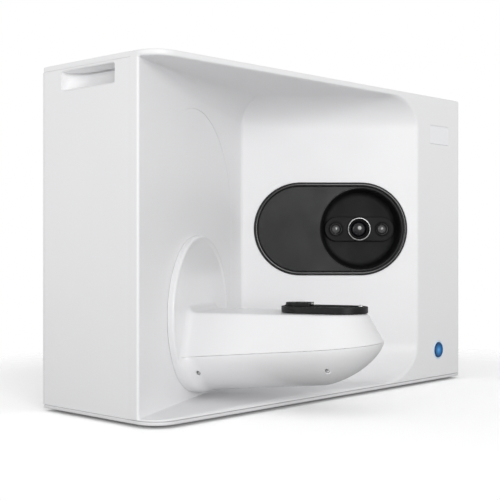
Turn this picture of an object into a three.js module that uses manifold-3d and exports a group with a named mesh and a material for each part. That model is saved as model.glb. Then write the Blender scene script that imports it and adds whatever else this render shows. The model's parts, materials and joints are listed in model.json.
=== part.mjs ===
// Desktop 3D scanner: open-front white housing with a slanted scanning bay.
// A camera window looks across the bay at a jig plate that turns on a swinging arm,
// and the arm hangs on a round disc that a lead screw lifts behind the left bay wall.
// Units are millimetres, +Z is up, the bay faces -Y. The origin is the bottom centre of the whole.
import * as THREE from 'three';
import { mergeVertices } from 'three/addons/utils/BufferGeometryUtils.js';
import Module from 'manifold-3d';

// ---------------------------------------------------------------- driving dimensions
const W = 505, D = 165, H = 340;            // housing width, depth, height (feet included)
const FOOT_H = 3, BASE_T = 3.3;             // rubber feet, base plate
const GAP = 0.3;                            // clearance between touching pieces
const WALL = 3;                             // moulded wall thickness
const FLOOR = 8.4, CEIL = 334;              // bay floor and ceiling heights
const FRONT_D = 33.5;                       // depth of the front shell's outer frame
const CORNER_R = 25;                        // plan radius of the front-left corner
const MOUTH_X = 413.5;                      // right edge of the bay mouth on the front plane
const LW_X = 2.5, LW_Y = 23.2;              // where the left bay wall starts
const LW_ANG = THREE.MathUtils.degToRad(24.87);   // left bay wall, plan angle
const DISC_S = 144.5;                       // tilt axis, distance along the left bay wall
const TILT_Z = 94.2;                        // tilt axis height at rest
const DISC_R = 80.3;                        // arm disc radius
const LIFT = 70;                            // lift travel
const ARCH_R = 110.2, ARCH_Z = 194;         // arched opening in the left bay wall
const ARM_C = 135;                          // turntable axis, distance from the left bay wall
const ARM_TOP = 97.3;                       // top of the arm
const TOP_W = 39, TOP_A = 42.9;             // arm top: half width, end radius
const CREASE_W = 56, CREASE_A = 58.4;       // arm crease: half width, end radius
const CREASE_Z = 54, SLOPE = 0.0805;        // crease height at the disc, rise along the arm
const HULL_D = 39.1, HULL_P = 1.58;         // hull depth under the crease, section exponent
const WIN_C = -102.3, WIN_Z = 182.4;        // window centre on the camera wall
const WIN_A = 89.4, WIN_B = 53.95;          // window half length, half height
const POD_C = -66.9, POD_R = 48;            // round lens recess
const LENS_X = [-94.5, -67.2, -40.1];       // left camera, projector, right camera
const BTN_X = 457.1, BTN_Z = 38;            // power button
const BADGE = [438.9, 479.1, 284, 306];     // blank badge place
const SEG = 24;
const YC = 34.3;                            // middle of the whole's depth, arm included

// ---------------------------------------------------------------- boolean helpers
const wasm = await Module(); wasm.setup();
const { Manifold, Mesh: MMesh } = wasm;

function solid(geometry) {
  const g = geometry.index ? geometry.clone() : geometry.clone();
  for (const k of Object.keys(g.attributes)) if (k !== 'position') g.deleteAttribute(k);
  const m = mergeVertices(g, 1e-4);
  const idx = m.index.array, tri = [];
  for (let i = 0; i < idx.length; i += 3) {
    if (idx[i] !== idx[i + 1] && idx[i + 1] !== idx[i + 2] && idx[i] !== idx[i + 2]) tri.push(idx[i], idx[i + 1], idx[i + 2]);
  }
  return new Manifold(new MMesh({ numProp: 3, vertProperties: new Float32Array(m.attributes.position.array), triVerts: new Uint32Array(tri) }));
}
function geo(man) {
  const mesh = man.getMesh();
  const g = new THREE.BufferGeometry();
  const n = mesh.numProp, src = mesh.vertProperties, pos = new Float32Array(src.length / n * 3);
  for (let i = 0; i < src.length / n; i++) for (let k = 0; k < 3; k++) pos[3 * i + k] = src[n * i + k];
  g.setAttribute('position', new THREE.BufferAttribute(pos, 3));
  g.setIndex(new THREE.BufferAttribute(new Uint32Array(mesh.triVerts), 1));
  return g;
}
const join = (...gs) => geo(gs.map(solid).reduce((a, b) => a.add(b)));
const cut = (a, ...gs) => geo(gs.reduce((m, g) => m.subtract(solid(g)), solid(a)));
const meet = (a, b) => geo(solid(a).intersect(solid(b)));

// ---------------------------------------------------------------- shape helpers
const BASIS_XZ = new THREE.Matrix4().makeBasis(new THREE.Vector3(1, 0, 0), new THREE.Vector3(0, 0, 1), new THREE.Vector3(0, -1, 0));
const BASIS_YZ = new THREE.Matrix4().makeBasis(new THREE.Vector3(0, 1, 0), new THREE.Vector3(0, 0, 1), new THREE.Vector3(1, 0, 0));
const extrude = (shape, depth, seg = 12) => new THREE.ExtrudeGeometry(shape, { depth, bevelEnabled: false, curveSegments: seg });
const plateXY = (shape, z0, z1, seg) => extrude(shape, z1 - z0, seg).translate(0, 0, z0);
const plateXZ = (shape, y0, y1, seg) => extrude(shape, y1 - y0, seg).applyMatrix4(BASIS_XZ).translate(0, y1, 0);
const plateYZ = (shape, x0, x1, seg) => extrude(shape, x1 - x0, seg).applyMatrix4(BASIS_YZ).translate(x0, 0, 0);
const box = (x0, x1, y0, y1, z0, z1) => new THREE.BoxGeometry(x1 - x0, y1 - y0, z1 - z0).translate((x0 + x1) / 2, (y0 + y1) / 2, (z0 + z1) / 2);
const cylZ = (r, x, y, z0, z1, seg = SEG) => new THREE.CylinderGeometry(r, r, z1 - z0, seg).rotateX(Math.PI / 2).translate(x, y, (z0 + z1) / 2);
const cylY = (r, x, z, y0, y1, seg = SEG) => new THREE.CylinderGeometry(r, r, y1 - y0, seg).translate(x, (y0 + y1) / 2, z);
// a profile of [radius, y] turned round an axis parallel to Y through (x, z)
const latheY = (pts, x, z, seg = SEG) => new THREE.LatheGeometry(pts.map(p => new THREE.Vector2(p[0], p[1])), seg).translate(x, 0, z);
const poly = pts => new THREE.Shape(pts.map(p => new THREE.Vector2(p[0], p[1])));
const rect = (x0, x1, y0, y1) => poly([[x0, y0], [x1, y0], [x1, y1], [x0, y1]]);
function roundRect(x0, x1, y0, y1, r) {
  const s = new THREE.Shape();
  s.moveTo(x0 + r, y0); s.lineTo(x1 - r, y0); s.absarc(x1 - r, y0 + r, r, -Math.PI / 2, 0);
  s.lineTo(x1, y1 - r); s.absarc(x1 - r, y1 - r, r, 0, Math.PI / 2);
  s.lineTo(x0 + r, y1); s.absarc(x0 + r, y1 - r, r, Math.PI / 2, Math.PI);
  s.lineTo(x0, y0 + r); s.absarc(x0 + r, y0 + r, r, Math.PI, 1.5 * Math.PI);
  return s;
}
function stadium(cx, cy, a, b) {
  const s = new THREE.Shape();
  s.moveTo(cx - (a - b), cy - b); s.lineTo(cx + (a - b), cy - b);
  s.absarc(cx + (a - b), cy, b, -Math.PI / 2, Math.PI / 2);
  s.lineTo(cx - (a - b), cy + b); s.absarc(cx - (a - b), cy, b, Math.PI / 2, 1.5 * Math.PI);
  return s;
}
// plan outline of the housing with the rounded front-left corner
function plan(y1) {
  const s = new THREE.Shape();
  s.moveTo(CORNER_R, 0); s.lineTo(W, 0); s.lineTo(W, y1); s.lineTo(0, y1); s.lineTo(0, CORNER_R);
  s.absarc(CORNER_R, CORNER_R, CORNER_R, Math.PI, 1.5 * Math.PI);
  return s;
}
// skin through a stack of closed outlines that all have the same number of points
function loft(rings) {
  const n = rings[0].length, pos = [], idx = [];
  for (const r of rings) for (const p of r) pos.push(...p);
  for (let k = 0; k + 1 < rings.length; k++) for (let i = 0; i < n; i++) {
    const a = k * n + i, b = k * n + (i + 1) % n, c = a + n, d = b + n;
    idx.push(a, b, d, a, d, c);
  }
  const faces = THREE.ShapeUtils.triangulateShape(rings[0].map(p => new THREE.Vector2(p[0], p[1])), []);
  const last = (rings.length - 1) * n;
  for (const f of faces) { idx.push(f[2], f[1], f[0]); }
  const faces2 = THREE.ShapeUtils.triangulateShape(rings[rings.length - 1].map(p => new THREE.Vector2(p[0], p[1])), []);
  for (const f of faces2) { idx.push(last + f[0], last + f[1], last + f[2]); }
  const g = new THREE.BufferGeometry();
  g.setAttribute('position', new THREE.Float32BufferAttribute(pos, 3));
  g.setIndex(idx);
  return g;
}

// ---------------------------------------------------------------- materials
const mat = (color, roughness, metalness = 0) => new THREE.MeshStandardMaterial({ color, roughness, metalness });
const WHITE = mat(0xf1f1f2, 0.35), WHITE_SATIN = mat(0xe9e9ea, 0.5), BLACK = mat(0x1d1d1f, 0.45), DARK = mat(0x38383a, 0.4);
const GLASS = mat(0x0b0d12, 0.05), STEEL = mat(0xb9bbbe, 0.3, 0.9), ALU = mat(0xc6c8cb, 0.35, 0.85), RUBBER = mat(0x1a1a1a, 0.9);
const PCB = mat(0x1f5a35, 0.5), MOTOR = mat(0x2b2b2e, 0.45, 0.4), BLUE = mat(0x2f9ad8, 0.3), ZINC = mat(0x9a9da1, 0.4, 0.8);

// ---------------------------------------------------------------- scene graph
const scanner = new THREE.Group();
const O = new THREE.Group(); O.position.set(-W / 2, -YC, 0); scanner.add(O);
// drive group: x along the left bay wall, -y out into the bay, origin on the tilt axis line
const LG = new THREE.Group();
LG.position.set(LW_X + DISC_S * Math.cos(LW_ANG), LW_Y + DISC_S * Math.sin(LW_ANG), 0); LG.rotation.z = LW_ANG; O.add(LG);
// optics group: x along the camera wall, +y behind it, origin on the right edge of the mouth
const CG = new THREE.Group();
CG.position.set(MOUTH_X, 0, 0); CG.rotation.z = -Math.PI / 4; O.add(CG);
function add(group, name, geometry, material) {
  const m = new THREE.Mesh(geometry, material); m.name = name; group.add(m); return m;
}
LG.updateMatrix(); CG.updateMatrix();
const fromLG = g => g.clone().applyMatrix4(LG.matrix);
const fromCG = g => g.clone().applyMatrix4(CG.matrix);

// ---------------------------------------------------------------- bay volume
// vertical section of the bay in front of a wall, with rounded floor and ceiling corners
function baySection(back, floor, ceil, rb, rt) {
  const s = new THREE.Shape(), far = 700;
  s.moveTo(back, floor + rb); s.absarc(back + rb, floor + rb, rb, Math.PI, 1.5 * Math.PI);
  s.lineTo(far, floor); s.lineTo(far, ceil); s.lineTo(back + rt, ceil);
  s.absarc(back + rt, ceil - rt, rt, Math.PI / 2, Math.PI);
  return s;
}
// the section's x runs out of the wall, so it is turned to face -y and swept along x
const sweepBay = (shape, x0, x1) => extrude(shape, x1 - x0, 6)
  .applyMatrix4(new THREE.Matrix4().makeBasis(new THREE.Vector3(0, -1, 0), new THREE.Vector3(0, 0, 1), new THREE.Vector3(-1, 0, 0)))
  .translate(x1, 0, 0);
function bay(off, floor, ceil) {
  const cam = fromCG(sweepBay(baySection(-off, floor, ceil, 42 + off * 0.6, 35 + off * 0.6), -700, 500));
  const left = fromLG(sweepBay(baySection(-off, floor, ceil, 5 + off * 0.6, 6 + off * 0.6), -600, 700));
  return meet(cam, left);
}
const bayTool = bay(0, FLOOR, CEIL);
const jacket = bay(WALL, FOOT_H + BASE_T + GAP, CEIL + 2);

// ---------------------------------------------------------------- base and feet
const Z0 = FOOT_H, Z1 = FOOT_H + BASE_T;
add(O, 'base_plate', plateXY(plan(D), Z0, Z1, 10), mat(0xededee, 0.4));
const foot = (x, y) => cylZ(11, x, y, 0, FOOT_H - GAP, 24);
add(O, 'foot_front_left', foot(34, 30), RUBBER);
add(O, 'foot_front_right', foot(478, 24), RUBBER);
add(O, 'foot_rear_left', foot(28, 142), RUBBER);
add(O, 'foot_rear_right', foot(478, 142), RUBBER);

// ---------------------------------------------------------------- front shell
{
  const frame = cut(plateXY(plan(FRONT_D), Z1 + GAP, H, 10), box(WALL, W - WALL, WALL, FRONT_D + 5, FLOOR, CEIL + 2));
  const limit = plateXY(plan(158), Z1 + GAP, CEIL + 2, 10);
  let shell = cut(join(frame, meet(jacket, limit)), bayTool);
  // arched opening for the disc panel, window opening, button hole and badge recess
  const arch = new THREE.Shape();
  arch.moveTo(-ARCH_R, FLOOR); arch.lineTo(ARCH_R, FLOOR); arch.lineTo(ARCH_R, ARCH_Z);
  arch.absarc(0, ARCH_Z, ARCH_R, 0, Math.PI);
  shell = cut(shell,
    fromLG(plateXZ(arch, -20, WALL + 12, 18)),
    fromCG(plateXZ(stadium(WIN_C, WIN_Z, WIN_A + 0.4, WIN_B + 0.4), -10, 12, 12)),
    cylY(11.3, BTN_X, BTN_Z, -5, 8, 24),
    box(BADGE[0], BADGE[1], -1, 0.8, BADGE[2], BADGE[3]));
  add(O, 'front_shell', shell, WHITE);
}

// ---------------------------------------------------------------- outer panels
const HY0 = 55, HY1 = 135, HZ0 = 313, HZ1 = 333, HDEP = 21;       // handle pocket
{
  const top = join(box(0, W, FRONT_D + GAP, D, CEIL + 2 + GAP, H), box(0, 2.5, FRONT_D + GAP, D, 335, H - 1),
    box(W - 2.5, W, FRONT_D + GAP, D, 335, H - 1), box(0, W, D - 2.7, D, 335, H - 1));
  add(O, 'top_cover', top, WHITE);
  const side = x0 => {
    const s = rect(FRONT_D + GAP, D - 3, Z1 + GAP, 334.7);
    s.holes.push(rect(HY0, HY1, HZ0, HZ1));
    return plateYZ(s, x0, x0 + 2.5);
  };
  add(O, 'left_side_panel', side(0), WHITE);
  add(O, 'right_side_panel', side(W - 2.5), WHITE);
  // grip pocket: flat ceiling, back wall at full depth, floor curving down to the lower lip
  const cup = () => {
    const outer = rect(0, HDEP + 2, HZ0 + GAP, HZ1 - GAP);
    const body = extrude(outer, HY1 - HY0 - 2 * GAP).applyMatrix4(new THREE.Matrix4().makeBasis(new THREE.Vector3(1, 0, 0), new THREE.Vector3(0, 0, 1), new THREE.Vector3(0, -1, 0))).translate(0, HY1 - GAP, 0);
    const s = new THREE.Shape();
    s.moveTo(-1, HZ0 + 1.6); s.lineTo(0, HZ0 + 1.6);
    s.absellipse(0, HZ1 - 7, HDEP, HZ1 - 7 - HZ0 - 1.6, -Math.PI / 2, 0, false);
    s.lineTo(HDEP, HZ1 - 1.7); s.lineTo(-1, HZ1 - 1.7);
    const scoop = extrude(s, HY1 - HY0 - 2 * GAP - 3.2, 8).applyMatrix4(new THREE.Matrix4().makeBasis(new THREE.Vector3(1, 0, 0), new THREE.Vector3(0, 0, 1), new THREE.Vector3(0, -1, 0))).translate(0, HY1 - GAP - 1.6, 0);
    return cut(body, scoop);
  };
  add(O, 'left_handle_cup', cup(), WHITE_SATIN);
  const right = add(O, 'right_handle_cup', cup().rotateZ(Math.PI).translate(0, HY0 + HY1, 0), WHITE_SATIN);
  right.position.set(W, 0, 0);
}
// rear cover with vent slots, fan grille and two port openings
const FAN_X = 418, FAN_Z = 250, PORT_Z = 44, USB_X = 392, DC_X = 432;
{
  const s = rect(0, W, Z1 + GAP, 334.7);
  const slot = (x, z, a, b) => s.holes.push(rect(x - a, x + a, z - b, z + b));
  for (let i = 0; i < 6; i++) slot(90, 232 + i * 9, 38, 1.5);
  for (let i = -3; i <= 3; i++) slot(FAN_X, FAN_Z + i * 7.4, Math.sqrt(27.5 * 27.5 - (i * 7.4) ** 2), 1.6);
  s.holes.push(rect(USB_X - 6.4, USB_X + 6.4, PORT_Z - 6, PORT_Z + 6));
  s.holes.push(new THREE.Path().absarc(DC_X, PORT_Z, 7.4, 0, 2 * Math.PI));
  add(O, 'rear_cover', plateXZ(s, D - 2.7, D, 10), WHITE_SATIN);
}

// ---------------------------------------------------------------- arched disc panel
{
  const arch = (r, z0) => {
    const s = new THREE.Shape();
    s.moveTo(-r, z0); s.lineTo(r, z0); s.lineTo(r, ARCH_Z); s.absarc(0, ARCH_Z, r, 0, Math.PI);
    return s;
  };
  const slotHole = stadiumV(0, TILT_Z - 9.5, TILT_Z + LIFT + 9.5, 9.5);
  const panel = cut(join(plateXZ(arch(ARCH_R - 0.4, FLOOR + 0.4), 1, 5.3, 18), plateXZ(arch(ARCH_R + 5, FLOOR + 0.4), WALL + GAP, 5.3, 18)),
    plateXZ(slotHole, -5, 12, 8));
  add(LG, 'arch_panel', panel, WHITE);
}
function stadiumV(x, z0, z1, r) {
  const s = new THREE.Shape();
  s.moveTo(x + r, z0 + r); s.lineTo(x + r, z1 - r); s.absarc(x, z1 - r, r, 0, Math.PI);
  s.lineTo(x - r, z0 + r); s.absarc(x, z0 + r, r, Math.PI, 2 * Math.PI);
  return s;
}

// ---------------------------------------------------------------- lift drive
const ROD_U = 26, ROD_V = 18, SCREW_U = 48, SCREW_V = 28, PUL_U = -58, PUL_R = 6.5, DRV_R = 25;
const SHELF_LO = 20, SHELF_HI = 226;
{
  const shelf = z => box(-70, 72, 8, 48, z, z + 4);
  let frame = join(shelf(SHELF_LO), shelf(SHELF_HI), box(-28, 72, 45, 48, Z1 + GAP, SHELF_HI + 4), box(-28, 72, 18, 48, Z1 + GAP, Z1 + GAP + 2.5));
  frame = cut(frame, cylZ(5, SCREW_U, SCREW_V, SHELF_HI - 5, SHELF_HI + 9, 20));
  add(LG, 'drive_frame', frame, ZINC);
  add(LG, 'left_guide_rod', cylZ(4, -ROD_U, ROD_V, SHELF_LO + 4 + GAP, SHELF_HI - GAP, 14), STEEL);
  add(LG, 'right_guide_rod', cylZ(4, ROD_U, ROD_V, SHELF_LO + 4 + GAP, SHELF_HI - GAP, 14), STEEL);
  const motor = (w, len) => join(new THREE.BoxGeometry(w, w, len * 0.22).translate(0, 0, len * 0.11),
    extrude(roundRect(-w / 2 + 1.5, w / 2 - 1.5, -w / 2 + 1.5, w / 2 - 1.5, 5), len * 0.6, 4).translate(0, 0, len * 0.2),
    new THREE.BoxGeometry(w, w, len * 0.22).translate(0, 0, len * 0.89));
  add(LG, 'lift_motor', motor(42, 38).translate(SCREW_U, SCREW_V, SHELF_HI + 4 + GAP), MOTOR);
  // lead screw with its coupling sleeve
  const pts = [[0, 24.5], [3, 24.5], [4, 26], [4, 203], [8, 204], [8, 224], [4.4, 224], [4.4, 230], [0, 230]];
  add(LG, 'lead_screw', new THREE.LatheGeometry(pts.map(p => new THREE.Vector2(p[0], p[1])), 14).rotateX(Math.PI / 2).translate(SCREW_U, SCREW_V, 0), STEEL);
  // carriage: block on the two rods, nut boss on the screw, hooked plate for the tilt motor
  const CZ0 = 72, CZ1 = 117;
  const carriage = cut(join(box(-84, 60, 10, 26, CZ0, CZ1), box(36, 60, 10, 38, CZ0, CZ1), box(-84, -80.5, 10, 42, CZ0, CZ1), box(-84, -35, 38.5, 42, CZ0, CZ1)),
    cylZ(4.4, -ROD_U, ROD_V, CZ0 - 5, CZ1 + 5, 14), cylZ(4.4, ROD_U, ROD_V, CZ0 - 5, CZ1 + 5, 14), cylZ(4.4, SCREW_U, SCREW_V, CZ0 - 5, CZ1 + 5, 14),
    cylY(13.3, 0, TILT_Z, 5, 30, 20), cylY(3.2, PUL_U, TILT_Z, 30, 50, 12));
  add(LG, 'lift_carriage', carriage, ALU);
  add(LG, 'tilt_bearing', cut(cylY(13, 0, TILT_Z, 10, 26, 20), cylY(8.3, 0, TILT_Z, 5, 30, 20)), STEEL);
  add(LG, 'tilt_motor', motor(42, 36).rotateX(-Math.PI / 2).translate(PUL_U, 42 + GAP, TILT_Z), MOTOR);
  add(LG, 'tilt_motor_pulley', join(cylY(PUL_R, PUL_U, TILT_Z, 29, 37, 16), cylY(8, PUL_U, TILT_Z, 27.6, 29.2, 16), cylY(2.5, PUL_U, TILT_Z, 36, 42, 10)), ALU);
  const belt = (r1, r2) => {
    const c = -PUL_U, t = Math.acos((r1 - r2) / c), s = new THREE.Shape();
    s.absarc(0, TILT_Z, r1, -(Math.PI - t), Math.PI - t);
    s.absarc(PUL_U, TILT_Z, r2, Math.PI - t, Math.PI + t);
    return s;
  };
  add(LG, 'tilt_belt', cut(plateXZ(belt(DRV_R + 1.8, PUL_R + 1.8), 29.8, 36.4, 10), plateXZ(belt(DRV_R + GAP, PUL_R + GAP), 20, 45, 10)), RUBBER);
  add(LG, 'tilt_driven_pulley', cut(join(cylY(DRV_R, 0, TILT_Z, 29, 37, 24), cylY(DRV_R + 2, 0, TILT_Z, 27.6, 29.2, 24)), cylY(8.3, 0, TILT_Z, 20, 50, 16)), ALU);
  // hollow tilt shaft with the flange that carries the disc
  add(LG, 'tilt_shaft', latheY([[5, -2.8], [30, -2.8], [30, -0.3], [8, -0.3], [8, 42], [5, 42], [5, -2.8]], 0, TILT_Z, 24), STEEL);
}

// ---------------------------------------------------------------- arm
const creaseZ = L => CREASE_Z + SLOPE * L;
// arm outline in plan (x, y = -distance), half width w, elliptical end a; z from a function of distance
function armRing(w, a, back, zf, flare = 0) {
  const pts = [], n = 14, f = L => w + flare * Math.max(0, 1 - (L - back) / 26) ** 2.2;
  for (const L of [back, back + 9, back + 26]) pts.push([-f(L), -L, zf(L)]);
  for (let i = 0; i <= n; i++) {
    const t = Math.PI * i / n, L = ARM_C + a * Math.sin(t);
    pts.push([-w * Math.cos(t), -L, zf(L)]);
  }
  for (const L of [back + 26, back + 9, back]) pts.push([f(L), -L, zf(L)]);
  return pts;
}
function hullLoft(inset, back, topGap) {
  const rings = [], ds = inset ? [0.96, 0.75, 0.45, 0] : [0.985, 0.88, 0.7, 0.48, 0.24, 0];
  for (const q of ds) {
    const k = Math.pow(1 - Math.pow(q, HULL_P), 1 / HULL_P), d = q * (HULL_D - inset);
    rings.push(armRing((CREASE_W - inset) * k, (CREASE_A - inset) * k, back, L => creaseZ(L) - d, 10.5 * (inset ? 0.6 : 1)));
  }
  if (topGap) rings.push(armRing(CREASE_W - inset, CREASE_A - inset, back, L => creaseZ(L) + topGap, 10.5 * 0.6));
  return loft(rings);
}
{
  // disc with a raised round rim, and the boat-shaped lower hull that grows out of its lower half
  const disc = latheY([[0, -0.3], [DISC_R - 0.8, -0.3], [DISC_R, -1.1], [DISC_R, -3.6], [DISC_R - 1.3, -6.1], [DISC_R - 4, -7],
    [DISC_R - 7, -6.2], [DISC_R - 10.8, -4.5], [0, -4.5]].reverse(), 0, TILT_Z, 44);
  let hull = cut(hullLoft(0, 2, 0), hullLoft(2.5, 5, 6));
  hull = cut(join(disc, hull), cylY(30.4, 0, TILT_Z, -3.1, 5, 24));
  // two screws through the left flank into the beam, heads sunk below the surface
  const across = (r, x0, x1, L, z, seg = 12) => new THREE.CylinderGeometry(r, r, x1 - x0, seg).rotateZ(Math.PI / 2).translate((x0 + x1) / 2, -L, z);
  const flank = (L, z) => { const q = (creaseZ(L) - z) / HULL_D; return -CREASE_W * Math.pow(1 - Math.pow(q, HULL_P), 1 / HULL_P); };
  const SCREWS = [['arm_screw_inner', 20, 38.7], ['arm_screw_outer', 147, 45.5]];
  hull = cut(hull, ...SCREWS.map(([, L, z]) => across(3.8, flank(L, z) - 14, flank(L, z) + 14, L, z)));
  add(LG, 'arm_hull', hull, WHITE);
  for (const [name, L, z] of SCREWS) add(LG, name, join(across(3.4, flank(L, z) + 1.2, flank(L, z) + 3.4, L, z), across(1.5, flank(L, z) + 3, flank(L, z) + 10, L, z, 12)), STEEL);
  // upper cover: flared sides from the crease up to the flat top, open below
  const bodyOut = loft([armRing(CREASE_W, CREASE_A, 4.9, L => creaseZ(L) + 0.4), armRing(TOP_W, TOP_A, 4.9, () => ARM_TOP)]);
  const bodyIn = loft([armRing(CREASE_W - 2.5, CREASE_A - 2.5, 7.4, L => creaseZ(L) - 3), armRing(TOP_W - 1, TOP_A - 1.2, 7.4, () => ARM_TOP - 2.5)]);
  add(LG, 'arm_cover', cut(bodyOut, bodyIn, cylZ(12.5, 0, -ARM_C, 80, 110, 28)), WHITE);
  // beam: bent plate from the disc flange to the motor seat
  const beam = cut(join(box(-24, 24, -162, -8, 66, 69), box(-24, 24, -11, -8, 50, 92)), cylZ(11.8, 0, -ARM_C, 60, 75, 24));
  add(LG, 'arm_beam', beam, ZINC);
  add(LG, 'turntable_motor', join(box(-17.5, 17.5, -ARM_C - 17.5, -ARM_C + 17.5, 44, 65.7), cylZ(11, 0, -ARM_C, 65, 67.5, 24)), MOTOR);
  add(LG, 'turntable_hub', cylZ(10, 0, -ARM_C, 67.9, 97.4, 20), ALU);
}

// ---------------------------------------------------------------- jig plate on the turntable
{
  const PZ = 97.7, PT = 6.1;                   // underside height and thickness
  const s = stadiumV(0, -ARM_C - 43.2, -ARM_C + 43.2, 25);
  const slot = plateXY(rect(-4.2, 4.2, -ARM_C + 6, -ARM_C + 40), PZ + 2, PZ + PT + 3);
  add(LG, 'turntable_plate', cut(plateXY(s, PZ, PZ + PT, 12), slot), BLACK);
  // sliding jaw: keel in the plate's slot, raised head
  const head = stadiumJaw();
  add(LG, 'clamp_jaw', join(plateXY(head, PZ + PT + GAP, PZ + PT + 3.4, 6), box(-3.9, 3.9, -ARM_C + 18, -ARM_C + 39.5, PZ + 2 + GAP, PZ + PT + 1)), BLACK);
  add(LG, 'jaw_pin', cylY(1.5, 0, PZ + PT + 1.9, -ARM_C + 10.9, -ARM_C + 13.3, 14), STEEL);
  add(LG, 'fixed_pin', cylZ(2.2, 0, -ARM_C - 36.4, PZ + PT + GAP, PZ + PT + 2.0, 14), STEEL);
}
function stadiumJaw() {
  const y0 = -ARM_C + 13.6, y1 = -ARM_C + 39, w = 12, s = new THREE.Shape();
  s.moveTo(-w, y0); s.lineTo(w, y0); s.lineTo(w, y1 - w); s.absarc(0, y1 - w, w, 0, Math.PI);
  return s;
}

// ---------------------------------------------------------------- camera window
{
  const bezel = stadium(WIN_C, WIN_Z, WIN_A, WIN_B); bezel.holes.push(stadium(WIN_C, WIN_Z, WIN_A - 4.6, WIN_B - 4.6));
  add(CG, 'window_bezel', plateXZ(bezel, -2, 5, 12), BLACK);
  const panel = stadium(WIN_C, WIN_Z, WIN_A - 4.9, WIN_B - 4.9); panel.holes.push(new THREE.Path().absarc(POD_C, WIN_Z, POD_R, 0, 2 * Math.PI));
  add(CG, 'window_panel', plateXZ(panel, -0.8, 1.7, 12), DARK);
  const cup = latheY([[47.6, -0.6], [47.6, 1.7], [46.2, 18], [0, 18], [0, 16], [43.6, 16], [45.4, -0.6], [47.6, -0.6]], POD_C, WIN_Z, 36);
  const holes = LENS_X.map((x, i) => cylY(i === 1 ? 13.9 : 8.6, x, WIN_Z, 5, 30, 20));
  add(CG, 'lens_cup', cut(cup, ...holes), BLACK);
  const bar = stadium(POD_C, WIN_Z, 41, 14.5);
  add(CG, 'lens_bar', cut(plateXZ(bar, 12.4, 15.7, 12), ...holes), BLACK);
  const barrel = (ro, ri, x, y0) => cut(cylY(ro, x, WIN_Z, y0, 23.7, 20), cylY(ri, x, WIN_Z, y0 - 5, 30, 20));
  add(CG, 'projector_barrel', barrel(13.6, 11.7, LENS_X[1], 10.4), DARK);
  add(CG, 'left_camera_barrel', barrel(8.3, 6.8, LENS_X[0], 11.4), BLACK);
  add(CG, 'right_camera_barrel', barrel(8.3, 6.8, LENS_X[2], 11.4), BLACK);
  const lens = (r, x, y) => latheY([[0, y + 5], [r, y + 5], [r, y + 2.4], [r * 0.7, y + 0.8], [0, y]].reverse(), x, WIN_Z, 18);
  add(CG, 'projector_lens', lens(11.4, LENS_X[1], 12.6), GLASS);
  add(CG, 'left_camera_lens', lens(6.5, LENS_X[0], 12.6), GLASS);
  add(CG, 'right_camera_lens', lens(6.5, LENS_X[2], 12.6), GLASS);
  // bracket on two legs carries the optics off the base
  const br = poly([[-128, 120], [-128, Z1 + GAP], [-108, Z1 + GAP], [-108, 120], [-32, 120], [-32, FLOOR + GAP], [-12, FLOOR + GAP], [-12, 246], [-128, 246]].reverse());
  const bracket = join(plateXZ(br, 24, 27), box(-128, -108, 24, 46, Z1 + GAP, Z1 + GAP + 2.5), box(-32, -12, 24, 46, FLOOR + GAP, FLOOR + GAP + 2.5));
  add(CG, 'optics_bracket', cut(bracket, cylY(11, LENS_X[1], WIN_Z, 20, 30, 16), cylY(6, LENS_X[0], WIN_Z, 20, 30, 12), cylY(6, LENS_X[2], WIN_Z, 20, 30, 12)), ALU);
  const cam = x => join(box(x - 11, x + 11, 27.3, 58, WIN_Z - 14.5, WIN_Z + 14.5), box(x - 7, x + 7, 57, 62, WIN_Z - 7, WIN_Z + 7));
  add(CG, 'left_camera_module', cam(LENS_X[0] - 1), MOTOR);
  add(CG, 'right_camera_module', cam(LENS_X[2] + 1), MOTOR);
  add(CG, 'projector_engine', join(cylY(12.6, LENS_X[1], WIN_Z, 27.3, 66, 16), box(-90, -42, 65, 98, WIN_Z - 30, WIN_Z + 26)), DARK);
}

// ---------------------------------------------------------------- power button and badge
{
  const Y = -0.7;
  add(O, 'button_ring', cut(cylY(11, BTN_X, BTN_Z, Y, 3, 24), cylY(9.3, BTN_X, BTN_Z, -5, 9, 24)), mat(0xdfe6ec, 0.3));
  add(O, 'power_button', join(cylY(9, BTN_X, BTN_Z, -1.1, 3.6, 24), cylY(3, BTN_X, BTN_Z, 3, 6.2, 12)), BLUE);
  add(O, 'button_switch', join(box(BTN_X - 14, BTN_X + 14, 12, 13.6, BTN_Z - 14, BTN_Z + 14), box(BTN_X - 4, BTN_X + 4, 8.4, 12.5, BTN_Z - 4, BTN_Z + 4)), PCB);
  add(O, 'badge_plate', plateXZ(rect(BADGE[0] + 0.5, BADGE[1] - 0.5, BADGE[2] + 0.5, BADGE[3] - 0.5), -0.1, 0.5), WHITE_SATIN);
}

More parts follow.
